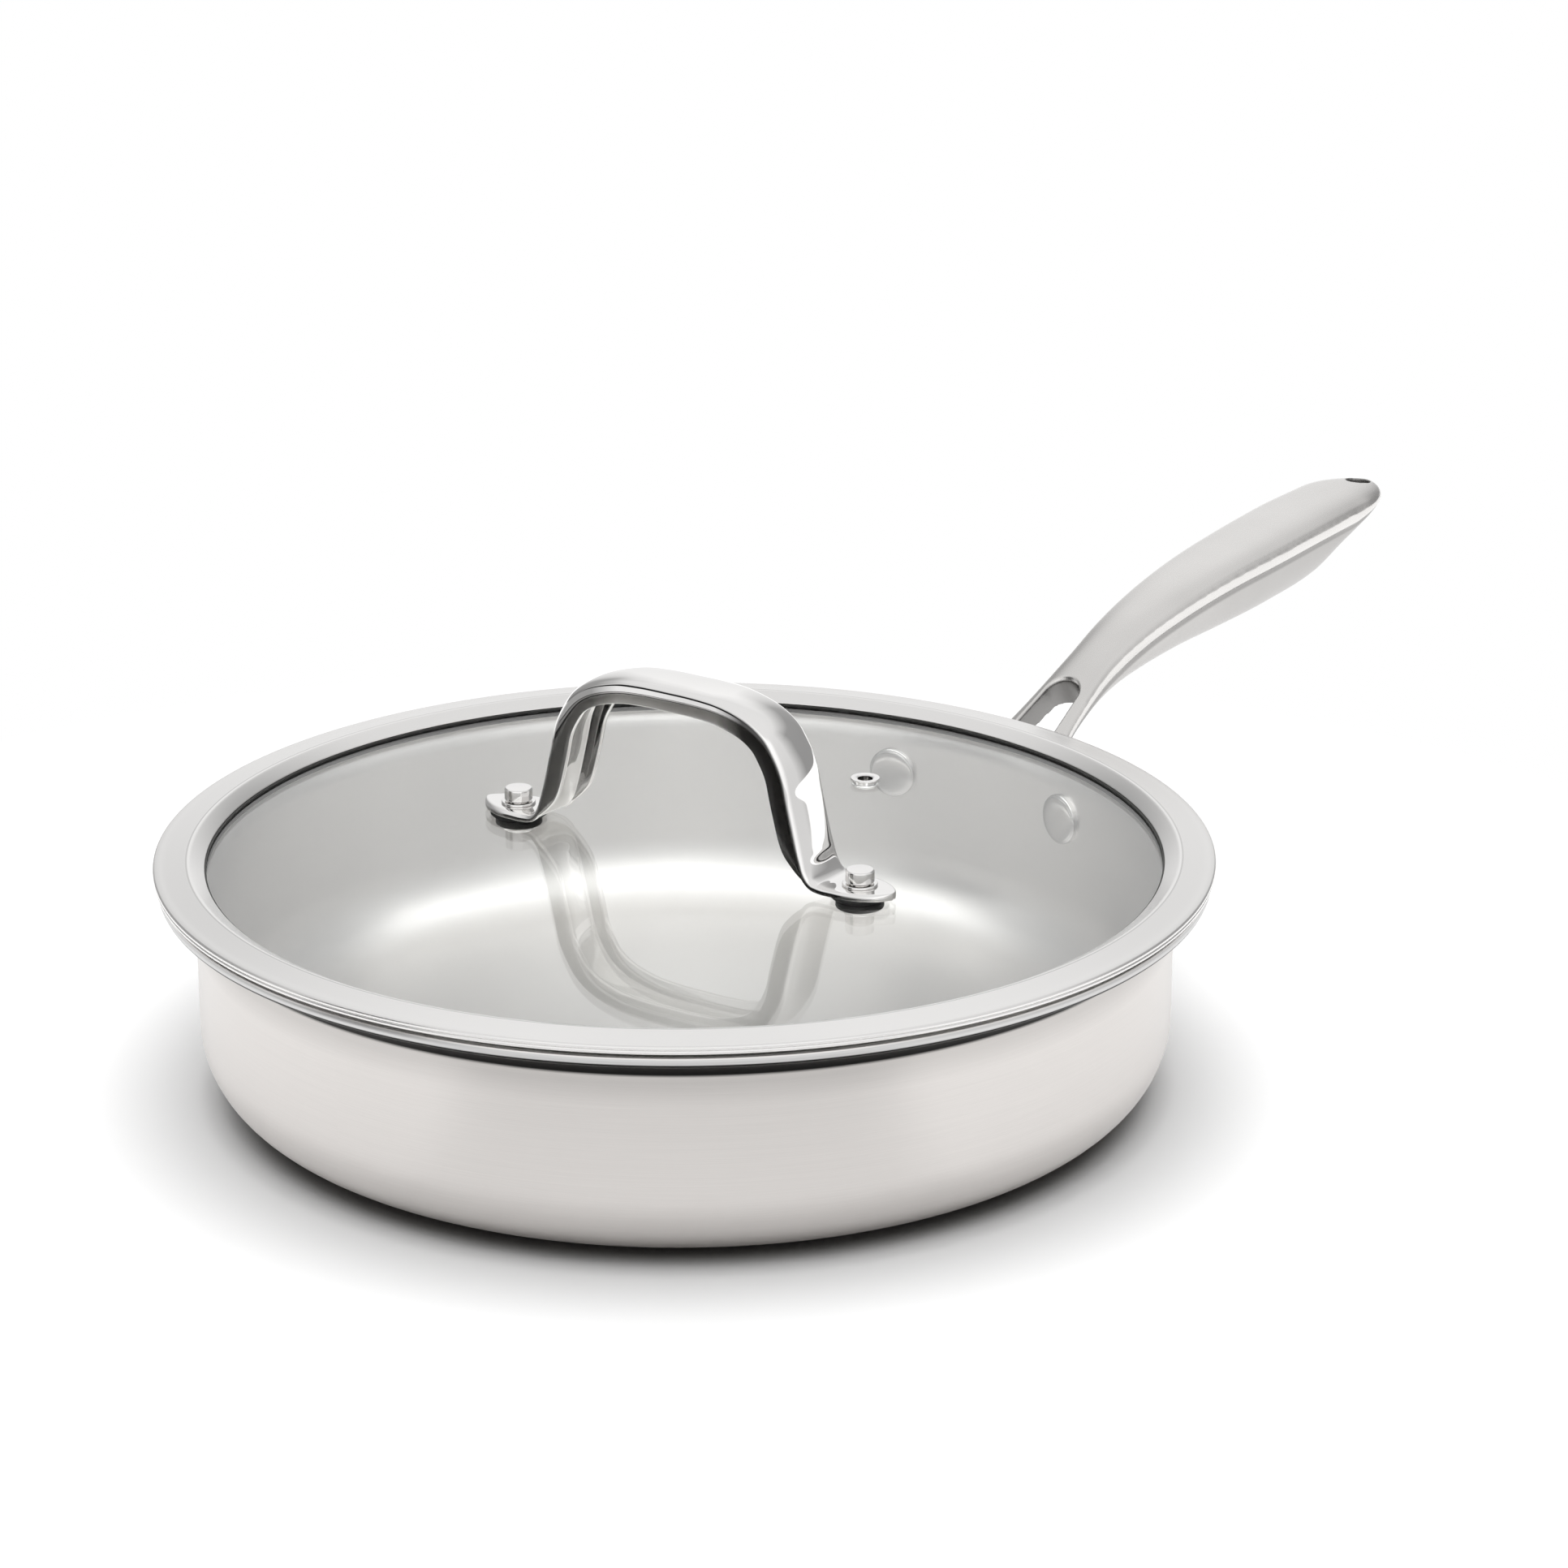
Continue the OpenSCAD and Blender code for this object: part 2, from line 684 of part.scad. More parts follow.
module screw_left() {
    screw(-1);
}

module screw_right() {
    screw(1);
}

pan_inner_layer();
pan_core();
pan_outer_layer();
pan_handle();
rivet_left();
rivet_right();
lid_glass();
lid_gasket();
lid_ring();
steam_vent();
lid_handle();
pad_left();
pad_right();
washer_left();
washer_right();
button_left();
button_right();
seal_left();
seal_right();
screw_left();
screw_right();
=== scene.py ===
import math

import bpy
from mathutils import Matrix, Vector

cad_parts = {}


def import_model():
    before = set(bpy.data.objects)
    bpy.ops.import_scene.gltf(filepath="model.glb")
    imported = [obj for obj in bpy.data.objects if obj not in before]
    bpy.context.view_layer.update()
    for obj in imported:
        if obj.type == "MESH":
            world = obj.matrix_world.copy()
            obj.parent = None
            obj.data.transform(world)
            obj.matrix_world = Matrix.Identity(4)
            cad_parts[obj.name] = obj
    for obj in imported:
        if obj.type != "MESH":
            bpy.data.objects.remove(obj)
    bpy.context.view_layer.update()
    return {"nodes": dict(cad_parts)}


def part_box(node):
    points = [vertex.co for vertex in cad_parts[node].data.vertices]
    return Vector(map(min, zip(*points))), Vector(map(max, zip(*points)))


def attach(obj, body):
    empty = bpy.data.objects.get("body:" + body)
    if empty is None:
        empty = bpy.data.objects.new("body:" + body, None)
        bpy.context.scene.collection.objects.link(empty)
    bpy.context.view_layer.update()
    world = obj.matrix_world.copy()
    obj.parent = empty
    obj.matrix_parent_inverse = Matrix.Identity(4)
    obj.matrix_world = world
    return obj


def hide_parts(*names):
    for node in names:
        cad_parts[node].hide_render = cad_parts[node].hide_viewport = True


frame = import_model()

MM = 0.001
TURN = 256                      # steps round a large lathed piece
SMALL_TURN = 64                 # steps round a small one
SHARP = math.radians(32)        # edges sharper than this stay crisp

# Pan
PAN_R = 120.0                   # inner face of the wall
INNER_T, CORE_T, OUTER_T = 0.5, 1.3, 0.5
WALL_T = INNER_T + CORE_T + OUTER_T
PAN_OUT = PAN_R + WALL_T
CORNER_R = 20.0                 # outside radius between base and wall
FLARE_R = 8.0                   # inside radius of the flare
FLARE_ANGLE = 70.0              # turn of the flare, in degrees
PAN_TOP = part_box("pan_inner_layer")[1][2] / MM
LIP_R = PAN_R + 12.0
LIP_EASE, LIP_ROUND = 0.3, 1.5  # rounding of the lip's end on top and below
RIVET_Z = PAN_TOP - 17.0
RIVET_Y = 29.0
FLANGE_T = 3.5
FLANGE_H = 13.0

# Lid, its heights counted from the top of the rolled edge
CREST_H = 1.0
SLOPE_H, SLOPE_W = 2.0, 4.0     # slope from the crest down to the glass
GRIP_W = 3.0                    # width over which the rim's lip grips the glass
OVERHANG = 0.5                  # reach of the rim past the pan's lip
LID_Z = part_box("lid_ring")[1][2] / MM - CREST_H
LID_TURN = -84.0                # line of the lid handle, in degrees
GLASS_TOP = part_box("lid_glass")[1][2] / MM - LID_Z
GLASS_T = 4.0
GLASS_LOW = GLASS_TOP - GLASS_T
STRIP_T, GASKET_T = 0.5, 0.5
CHANNEL_OUT = PAN_R + 2.7
CHANNEL_LOW = GLASS_LOW - GASKET_T - STRIP_T
CHANNEL_R = 0.8                 # corner at the foot of the channel
GASKET_OUT = CHANNEL_OUT - STRIP_T
CREST_R = CHANNEL_OUT + SLOPE_W - GRIP_W
RIM_IN = CREST_R - SLOPE_W
LID_R = LIP_R + OVERHANG
STRAP_X = 52.8                  # fixing holes, from the middle of the lid
PAD_T, STRAP_T, WASHER_T = 1.0, 1.6, 0.6
STRAP_HOLLOW = 0.25             # depth of the hollow under each foot
FOOT_TOP = GLASS_TOP + PAD_T + STRAP_T + STRAP_HOLLOW


# Mesh helpers

def mesh_object(name, points, faces, sharp=SHARP):
    mesh = bpy.data.meshes.new(name)
    mesh.from_pydata([Vector(p) * MM for p in points], [], faces)
    mesh.validate()
    obj = bpy.data.objects.new(name, mesh)
    bpy.context.scene.collection.objects.link(obj)
    smooth(obj, sharp)
    return obj


def smooth(obj, sharp=SHARP):
    obj.data.shade_smooth()
    obj.data.set_sharp_from_angle(angle=sharp)


def on_lid(p):
    """A point of the lid, drawn along its handle, in its place on the pan."""
    a = math.radians(LID_TURN)
    return (p[0] * math.cos(a) - p[1] * math.sin(a),
            p[0] * math.sin(a) + p[1] * math.cos(a), p[2] + LID_Z)


def arc(cx, cz, r, start, end, steps):
    """Points on an arc in the (r, z) plane, angles in degrees."""
    angles = [math.radians(start + (end - start) * i / steps) for i in range(steps + 1)]
    return [(cx + r * math.cos(a), cz + r * math.sin(a)) for a in angles]


def lathe(name, profile, place=lambda p: p, steps=TURN):
    """Turns a closed (r, z) profile about Z. Points on the axis become one point."""
    points, rings = [], []
    for r, z in profile:
        if r < 1e-6:
            rings.append([len(points)] * steps)
            points.append(place((0.0, 0.0, z)))
            continue
        rings.append(list(range(len(points), len(points) + steps)))
        for i in range(steps):
            a = 2 * math.pi * i / steps
            points.append(place((r * math.cos(a), r * math.sin(a), z)))
    faces = []
    for k, low in enumerate(rings):
        high = rings[(k + 1) % len(rings)]
        for i in range(steps):
            j = (i + 1) % steps
            face = []
            for v in (low[i], low[j], high[j], high[i]):
                if v not in face:
                    face.append(v)
            if len(face) > 2:
                faces.append(face)
    return mesh_object(name, points, faces)


def rounded(r, z0, z1, edge, inner, steps=5):
    """Profile of a disc from z0 to z1, with rounded outer edges and a hole of radius inner."""
    low = [(inner, z0)] + arc(r - edge, z0 + edge, edge, -90, 0, steps)
    return low + arc(r - edge, z1 - edge, edge, 0, 90, steps) + [(inner, z1)]


def dome(r, z, height, start, end, step=10):
    """Points on a low elliptic dome over the level z, angles in degrees from its edge."""
    angles = [math.radians(a) for a in range(start, end, step)]
    return [(r * math.cos(a), z + height * math.sin(a)) for a in angles]


def loft(name, rings, place, sharp):
    """Closed skin over rings of equal length. Each end is closed by a row of quads."""
    n = len(rings[0])
    points = [place(p) for ring in rings for p in ring]
    faces = []
    for i in range(len(rings) - 1):
        for j in range(n):
            k = (j + 1) % n
            faces.append([i * n + j, i * n + k, (i + 1) * n + k, (i + 1) * n + j])
    last = (len(rings) - 1) * n
    for j in range(n // 2 - 1):
        faces.append([j, n - 1 - j, n - 2 - j, j + 1])
        faces.append([last + j, last + j + 1, last + n - 2 - j, last + n - 1 - j])
    return mesh_object(name, points, faces, sharp)


def modify(obj, kind, **settings):
    """Adds one modifier and puts its result in the mesh."""
    modifier = obj.modifiers.new(kind.lower(), kind)
    for key, value in settings.items():
        setattr(modifier, key, value)
    graph = bpy.context.evaluated_depsgraph_get()
    mesh = bpy.data.meshes.new_from_object(obj.evaluated_get(graph))
    obj.modifiers.clear()
    old = obj.data
    obj.data = mesh
    bpy.data.meshes.remove(old)
    mesh.name = obj.name


def carve(obj, cutter):
    """Takes the cutter's solid out of obj and deletes the cutter."""
    modify(obj, "BOOLEAN", operation="DIFFERENCE", object=cutter, solver="EXACT")
    bpy.data.objects.remove(cutter)


def join(obj, other):
    """Puts the mesh of other into obj."""
    with bpy.context.temp_override(active_object=obj, selected_editable_objects=[obj, other]):
        bpy.ops.object.join()


# Curves through the tables

def slope(tab, i, c):
    a, b = max(i - 1, 0), min(i + 1, len(tab) - 1)
    return (tab[b][c] - tab[a][c]) / (tab[b][0] - tab[a][0])


def cubic(p, q, a, b, t):
    """Curve from p to q with the slopes a and b at its ends, at t from 0 to 1."""
    return p + a * t + (3 * (q - p) - 2 * a - b) * t * t + (2 * (p - q) + a + b) * t ** 3


def over(tab, x, c):
    """Smooth curve through column c of a table, over its rising first column."""
    i = 0
    while i < len(tab) - 2 and tab[i + 1][0] < x:
        i += 1
    h = tab[i + 1][0] - tab[i][0]
    return cubic(tab[i][c], tab[i + 1][c], slope(tab, i, c) * h, slope(tab, i + 1, c) * h,
                 (x - tab[i][0]) / h)


def along(tab, u, c):
    """Smooth curve through column c of a table, over the row number u."""
    n = len(tab)
    i = min(int(u), n - 2)
    p, q, r, s = (tab[k][c] for k in (max(i - 1, 0), i, i + 1, min(i + 2, n - 1)))
    return cubic(q, r, (r - p) / 2, (s - q) / 2, u - i)


# Materials

class Nodes:
    """Node tree of a material or of the studio, with short calls that make and join nodes."""

    def __init__(self, name=None, tree=None):
        self.tree = tree
        if name:
            self.material = bpy.data.materials.new(name)
            self.material.use_nodes = True
            self.tree = self.material.node_tree
            self.shader = self.tree.nodes["Principled BSDF"]
            self.output = self.tree.nodes["Material Output"]

    def make(self, kind, **settings):
        node = self.tree.nodes.new("ShaderNode" + kind)
        for key, value in settings.items():
            setattr(node, key, value)
        return node

    def put(self, value, socket):
        """Links a value that is a socket, and sets one that is a number or a colour."""
        if isinstance(value, bpy.types.NodeSocket):
            self.tree.links.new(value, socket)
        else:
            socket.default_value = value

    def set(self, **values):
        """Puts values in the shader's sockets."""
        for key, value in values.items():
            self.put(value, self.shader.inputs[key.replace("_", " ")])

    def math(self, operation, a, b=0.0):
        node = self.make("Math", operation=operation)
        self.put(a, node.inputs[0])
        self.put(b, node.inputs[1])
        return node.outputs[0]

    def plus(self, a, b):
        return self.math("ADD", a, b)

    def times(self, first, *others):
        for value in others:
            first = self.math("MULTIPLY", first, value)
        return first

    def rest(self, share):
        """What a share leaves of 1."""
        return self.math("SUBTRACT", 1.0, share)

    def absolute(self, value):
        return self.math("ABSOLUTE", value)

    def dot(self, vector, axis):
        node = self.make("VectorMath", operation="DOT_PRODUCT")
        self.put(vector, node.inputs[0])
        node.inputs[1].default_value = axis
        return node.outputs["Value"]

    def span(self, value, low, high, source=(0.0, 1.0)):
        """Low to high as the value runs through the source span, and no further."""
        node = self.make("MapRange")
        self.put(value, node.inputs["Value"])
        node.inputs["From Min"].default_value, node.inputs["From Max"].default_value = source
        node.inputs["To Min"].default_value, node.inputs["To Max"].default_value = low, high
        return node.outputs["Result"]

    def combine(self, x, y, z):
        node = self.make("CombineXYZ")
        for value, socket in zip((x, y, z), node.inputs):
            self.put(value, socket)
        return node.outputs[0]

    def place(self):
        return self.make("TexCoord").outputs["Object"]

    def position(self):
        node = self.make("SeparateXYZ")
        self.put(self.place(), node.inputs[0])
        return node.outputs

    def radius(self):
        """Distance from the Z axis."""
        x, y, _ = self.position()
        return self.math("SQRT", self.plus(self.times(x, x), self.times(y, y)))

    def normal(self, axis):
        """Share of the surface's normal along an axis."""
        return self.dot(self.make("TexCoord").outputs["Normal"], axis)

    def noise(self, vector, scale, detail):
        node = self.make("TexNoise")
        self.put(vector, node.inputs["Vector"])
        node.inputs["Scale"].default_value = scale
        node.inputs["Detail"].default_value = detail
        return node.outputs["Fac"]

    def graded(self, noise, low, high):
        """Low to high over the span that a noise mostly fills."""
        return self.span(noise, low, high, (0.3, 0.7))

    def varied(self, color, noise, low, high):
        """Colour times a factor from low to high, by a noise."""
        ramp = self.make("ValToRGB")
        for element, factor in zip(ramp.color_ramp.elements, (low, high)):
            element.color = (*(c * factor for c in color), 1)
        self.put(self.graded(noise, 0.0, 1.0), ramp.inputs[0])
        return ramp.outputs[0]

    def scaled(self, color, factor):
        node = self.make("VectorMath", operation="SCALE")
        self.put(color, node.inputs[0])
        self.put(factor, node.inputs["Scale"])
        return node.outputs["Vector"]

    def bump(self, height, strength, distance):
        node = self.make("Bump")
        node.inputs["Strength"].default_value = strength
        node.inputs["Distance"].default_value = distance
        self.put(height, node.inputs["Height"])
        self.put(node.outputs["Normal"], self.shader.inputs["Normal"])


def turned_steel(name, color, rough, anisotropy, line, strength, painted_shading):
    """Steel brushed in circles about Z. Line is the width of the finest lines, in millimetres,
    strength is how clearly they show, and the last one gives painted light and shade for the
    colour."""
    n = Nodes(name)
    x, y, z = n.position()
    radius, angle = n.radius(), n.math("ARCTAN2", y, x)

    def lines(across, around, detail):
        """Noise drawn out in circles: across and around are its scales, per metre and radian."""
        return n.noise(n.combine(n.times(radius, across), n.times(angle, around),
                                 n.times(z, across)), 1.0, detail)

    # Fine lines, and broad ones nine times as wide
    across = 1 / (line * MM)
    streaks = n.plus(n.times(lines(across, 5.0, 3.0), 0.8),
                     n.times(lines(across / 9, 1.5, 2.0), 0.2))
    vary = 0.3 * strength
    base = n.varied(color, streaks, 1 - vary, 1 + vary)
    n.set(Base_Color=n.scaled(base, painted_shading(n)), Metallic=1.0,
          Roughness=n.graded(streaks, rough * (1 - strength), rough * (1 + strength)),
          Anisotropic=anisotropy, Anisotropic_Rotation=0.25)
    n.bump(streaks, strength, distance=0.012 * MM)
    tangent = n.make("Tangent", direction_type="RADIAL", axis="Z")
    n.put(tangent.outputs[0], n.shader.inputs["Tangent"])
    return n.material


RAW_SHADE_DARK, RAW_ROUGH = 0.4, 0.12 # factor of the colour, for the as-cast finish with painted shade, and added roughness of the as-cast finish


def cast_steel(name, color, rough):
    """Satin cast steel with a fine grain, duller and darker by a value on the mesh's points: an
    as-cast finish with painted shade.
    """
    n = Nodes(name)
    grain = n.noise(n.place(), scale=2600.0, detail=3.0)
    broad = n.noise(n.place(), scale=45.0, detail=2.0)
    raw_shade = n.make("Attribute", attribute_name="raw_shade").outputs["Fac"]
    satin = n.varied(color, broad, 0.97, 1.02)
    n.set(Base_Color=n.scaled(satin, n.span(raw_shade, 1.0, RAW_SHADE_DARK)), Metallic=1.0,
          Roughness=n.plus(n.graded(grain, rough * 0.9, rough * 1.1), n.times(raw_shade, RAW_ROUGH)))
    n.bump(grain, strength=0.15, distance=0.012 * MM)
    return n.material


def polished_steel(name, color, rough, painted_shading=None):
    """Bright polished steel with the faintest smudges, and painted light and shade in its colour
    where a tone is given.
    """
    n = Nodes(name)
    smudge = n.noise(n.place(), scale=60.0, detail=3.0)
    base = n.varied(color, smudge, 0.98, 1.0)
    n.set(Base_Color=n.scaled(base, painted_shading(n)) if painted_shading else base, Metallic=1.0,
          Roughness=n.graded(smudge, rough * 0.7, rough * 1.3))
    return n.material


def rubber(name, color, rough):
    n = Nodes(name)
    grain = n.noise(n.place(), scale=1800.0, detail=3.0)
    n.set(Base_Color=n.varied(color, grain, 0.8, 1.2),
          Roughness=n.graded(grain, rough * 0.9, rough * 1.1))
    n.bump(grain, strength=0.3, distance=0.03 * MM)
    return n.material


def clear_glass(name):
    n = Nodes(name)
    haze = n.noise(n.place(), scale=25.0, detail=2.0)
    n.set(Base_Color=(0.985, 0.995, 0.99, 1.0), Transmission_Weight=1.0, IOR=1.5,
          Roughness=n.graded(haze, 0.0, 0.012))
    return n.material


# Tones: painted light and shade as factors of the steel's colour, most of them where pieces
# shade each other

LIP_SHADE = 0.02                # in the turn under the lip
LIP_TURNED = (0.20, 0.34)       # downward share of the normal over which that shade comes in
LIP_START = (40 * MM, 45 * MM)  # heights over which it starts
WALL_SHADE = 0.82               # on the wall up there
WALL_START = (42 * MM, 48 * MM)
# Painted shade on the pan's inner floor and painted light on its inner wall
FLOOR_TONE, WALL_TONE = 0.92, 1.10
FLOOR_END = (3 * MM, 10 * MM)   # heights over which the floor's tone becomes the wall's
LINE_TONE = 0.75                # of the painted dark line on the rim's crest, a painted reflection
LINE_OFF = 0.45                 # its distance outside the crest
LINE_EDGE = (0.1 * MM, 0.3 * MM)


def under_lip(n):
    """Darker where the wall turns outwards under the lip, as the pan shades itself there."""
    _, _, z = n.position()
    turned = n.span(n.normal((0, 0, -1)), 0.0, 1.0, LIP_TURNED)
    turn_shade = n.span(n.times(turned, n.span(z, 0.0, 1.0, LIP_START)), 1.0, LIP_SHADE)
    return n.times(n.span(z, 1.0, WALL_SHADE, WALL_START), turn_shade)


def painted_floor_and_wall(n):
    """Painted light and shade: the wall a little brighter than the floor."""
    _, _, z = n.position()
    return n.span(z, FLOOR_TONE, WALL_TONE, FLOOR_END)


def painted_crest_line(n):
    """Painted dark line along the crest of the rim, a painted reflection where it turns."""
    off = n.absolute(n.math("SUBTRACT", n.radius(), (CREST_R + LINE_OFF) * MM))
    return n.span(off, LINE_TONE, 1.0, LINE_EDGE)


# Painted dark reflections on the strap's flanks
FLANK_TURNED = (0.75, 0.95)     # sideways share of the normal over which a flank begins
LEG_START = (15 * MM, 23 * MM)  # distance from the lid's middle where the legs begin
TOP_SHARE = 0.35                # of the shade left on the arch between them
INSIDE_SHADE = 0.55             # on the inner faces of the flanks
LEFT_MORE, RIGHT_MORE = 0.15, 0.37      # more painted dark reflection on the outer faces of the two legs


def painted_flank_reflection(n):
    """Painted dark reflection on the flanks of the strap's legs: dark outside, more on the right
    leg, and less inside.
    """
    a = math.radians(LID_TURN)
    lengthwise, sideways = (math.cos(a), math.sin(a), 0), (-math.sin(a), math.cos(a), 0)
    facing = n.normal(sideways)
    forward = n.dot(n.place(), lengthwise)
    flank = n.span(n.absolute(facing), 0.0, 1.0, FLANK_TURNED)
    leg = n.span(n.absolute(forward), TOP_SHARE, 1.0, LEG_START)
    outside = n.span(n.times(facing, n.dot(n.place(), sideways)), 0.0, 1.0, (-1 * MM, 1 * MM))
    more = n.times(outside, n.span(forward, LEFT_MORE, RIGHT_MORE, (-5 * MM, 5 * MM)))
    return n.rest(n.times(flank, leg, n.plus(more, INSIDE_SHADE)))


outside_steel = turned_steel("steel_outside", (0.712, 0.685, 0.664), rough=0.34,
                             anisotropy=0.60, line=0.14, strength=0.10, painted_shading=under_lip)
inside_steel = turned_steel("steel_inside", (0.73, 0.715, 0.70), rough=0.33,
                            anisotropy=0.70, line=0.16, strength=0.06, painted_shading=painted_floor_and_wall)
ring_steel = turned_steel("steel_ring", (0.84, 0.83, 0.82), rough=0.26,
                          anisotropy=0.70, line=0.14, strength=0.015, painted_shading=painted_crest_line)
core_metal = turned_steel("aluminium_core", (0.80, 0.795, 0.79), rough=0.40,
                          anisotropy=0.30, line=0.25, strength=0.05, painted_shading=under_lip)
cast = cast_steel("steel_cast", (0.74, 0.725, 0.71), rough=0.28)
strap_steel = polished_steel("steel_mirror", (0.87, 0.86, 0.85), rough=0.035, painted_shading=painted_flank_reflection)
bright_steel = polished_steel("steel_bright", (0.86, 0.85, 0.84), rough=0.10)
rivet_steel = polished_steel("steel_rivet", (0.62, 0.61, 0.60), rough=0.10)
black_rubber = rubber("rubber_black", (0.015, 0.015, 0.015), rough=0.55)
grey_rubber = rubber("rubber_grey", (0.05, 0.05, 0.048), rough=0.6)
lid_glass = clear_glass("glass_clear")


def finish_piece(obj, body, slot, material, *nodes):
    """Gives a piece its material and its body, and lets it stand for CAD nodes. Slot is not
    used.
    """
    obj.data.materials.clear()
    obj.data.materials.append(material)
    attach(obj, body)
    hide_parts(*nodes)


# Pan wall: three bonded layers

FLOOR_STEPS, CORNER_STEPS, FLARE_STEPS, LIP_STEPS = 24, 18, 14, 6


def wall_line(depth):
    """Line at a depth under the inner face, from the middle of the floor to the lip's end."""
    flare = math.radians(FLARE_ANGLE)
    rise = math.radians(90 - FLARE_ANGLE)
    corner_x = PAN_OUT - CORNER_R
    lip_run = (LIP_R - PAN_R - FLARE_R * (1 - math.cos(flare))
               - WALL_T * math.cos(flare)) / math.sin(flare)
    flare_z = PAN_TOP - FLARE_R * math.sin(flare) - lip_run * math.cos(flare)
    line = [(corner_x * k / FLOOR_STEPS, WALL_T - depth) for k in range(FLOOR_STEPS)]
    line += arc(corner_x, CORNER_R, CORNER_R - WALL_T + depth, -90, 0, CORNER_STEPS)
    line += arc(PAN_R + FLARE_R, flare_z, FLARE_R - depth, 180, 180 - FLARE_ANGLE, FLARE_STEPS)
    x, z = line[-1]
    return line + [(x + lip_run * math.cos(rise), z + lip_run * math.sin(rise))]


def lip_end(depth):
    """End of the lip at a depth, rounded on top and more below."""
    (x0, z0), (x1, z1) = wall_line(depth)[-2:]
    length = math.hypot(x1 - x0, z1 - z0)
    back = 0.0
    for radius, past in ((LIP_EASE, LIP_EASE - depth), (LIP_ROUND, depth - WALL_T + LIP_ROUND)):
        back += radius - math.sqrt(radius ** 2 - max(0.0, past) ** 2)
    return (x1 - (x1 - x0) * back / length, z1 - (z1 - z0) * back / length)


def layer(name, a, b, slot, material, node):
    """One layer between two depths."""
    top, under = wall_line(a), wall_line(b)
    end = [lip_end(a + (b - a) * i / LIP_STEPS) for i in range(LIP_STEPS + 1)]
    obj = lathe(name, under[:-1] + end[::-1] + top[:-1][::-1])
    finish_piece(obj, "pan", slot, material, node)


layer("pan_inside", 0.0, INNER_T, "pan_inside", inside_steel, "pan_inner_layer")
layer("pan_middle", INNER_T, INNER_T + CORE_T, "core", core_metal, "pan_core")
layer("pan_outside", INNER_T + CORE_T, WALL_T, "pan_outside", outside_steel, "pan_outer_layer")


# Pan handle

HANDLE_LEN = 174.92             # a hair under the solid's, which the remesh adds
HANDLE_RISE = 54.4
HANDLE_W = 26.5
CROWN_H = 3.2
BELLY_H = 18.0
BEAD_H = 4.2                    # rounded edge band along each side of the crowned top
BEAD_SHARE = 0.4                # most of the belly's depth that it takes
BEAD_RAISE = 0.60               # step out from the crowned top to that band
BEAD_INSET = 2.3                # step in to the belly under it
INSET_SHARE = 0.15              # most of the half width that this step takes
BEAD_START, BEAD_TURN = 0.25, 0.7       # where the band's bulge starts and how far it turns
TOP_POWER, BELLY_POWER = 0.85, 0.8      # below 1, they square the ellipses of the section
CROWN_POWER = 0.3               # fall of the crown towards the tip
TIP_SHARE = 1.36                # length of the round tip, over the half width
TIP_TURN = 88                   # how far the last section goes round it, in degrees
SLOPE_STEP = 1.0                # distance over which the grip's slope is taken
# Share of the length, of the rise, of the half width, of the crown, of the belly
HANDLE_SHARES = [
    (0.010, 0.120, 1.88, 0.60, 0.54),
    (0.030, 0.134, 1.49, 0.60, 0.52),
    (0.055, 0.172, 1.12, 0.60, 0.48),
    (0.090, 0.260, 0.85, 0.60, 0.41),
    (0.147, 0.376, 0.69, 0.60, 0.37),
    (0.233, 0.542, 0.59, 0.62, 0.53),
    (0.319, 0.671, 0.66, 0.72, 0.70),
    (0.416, 0.769, 0.77, 0.82, 0.83),
    (0.530, 0.849, 0.88, 0.92, 0.96),
    (0.656, 0.908, 0.97, 1.00, 1.00),
    (0.782, 0.957, 1.00, 1.00, 0.94),
    (0.860, 0.978, 0.98, 0.96, 0.64),
    (0.930, 0.989, 0.94, 0.86, 0.34),
    (1.000, 0.982, 0.87, 0.76, 0.24)]
RING_STEPS, BEAD_STEPS = 30, 10
GRIP_STEPS, TIP_STEPS = 170, 26


def grip_rise(x):
    return HANDLE_RISE * over(HANDLE_SHARES, x / HANDLE_LEN, 1)


def squared(angle, power):
    """Cosine with its size raised to a power, its sign kept."""
    return math.copysign(abs(math.cos(angle)) ** power, math.cos(angle))


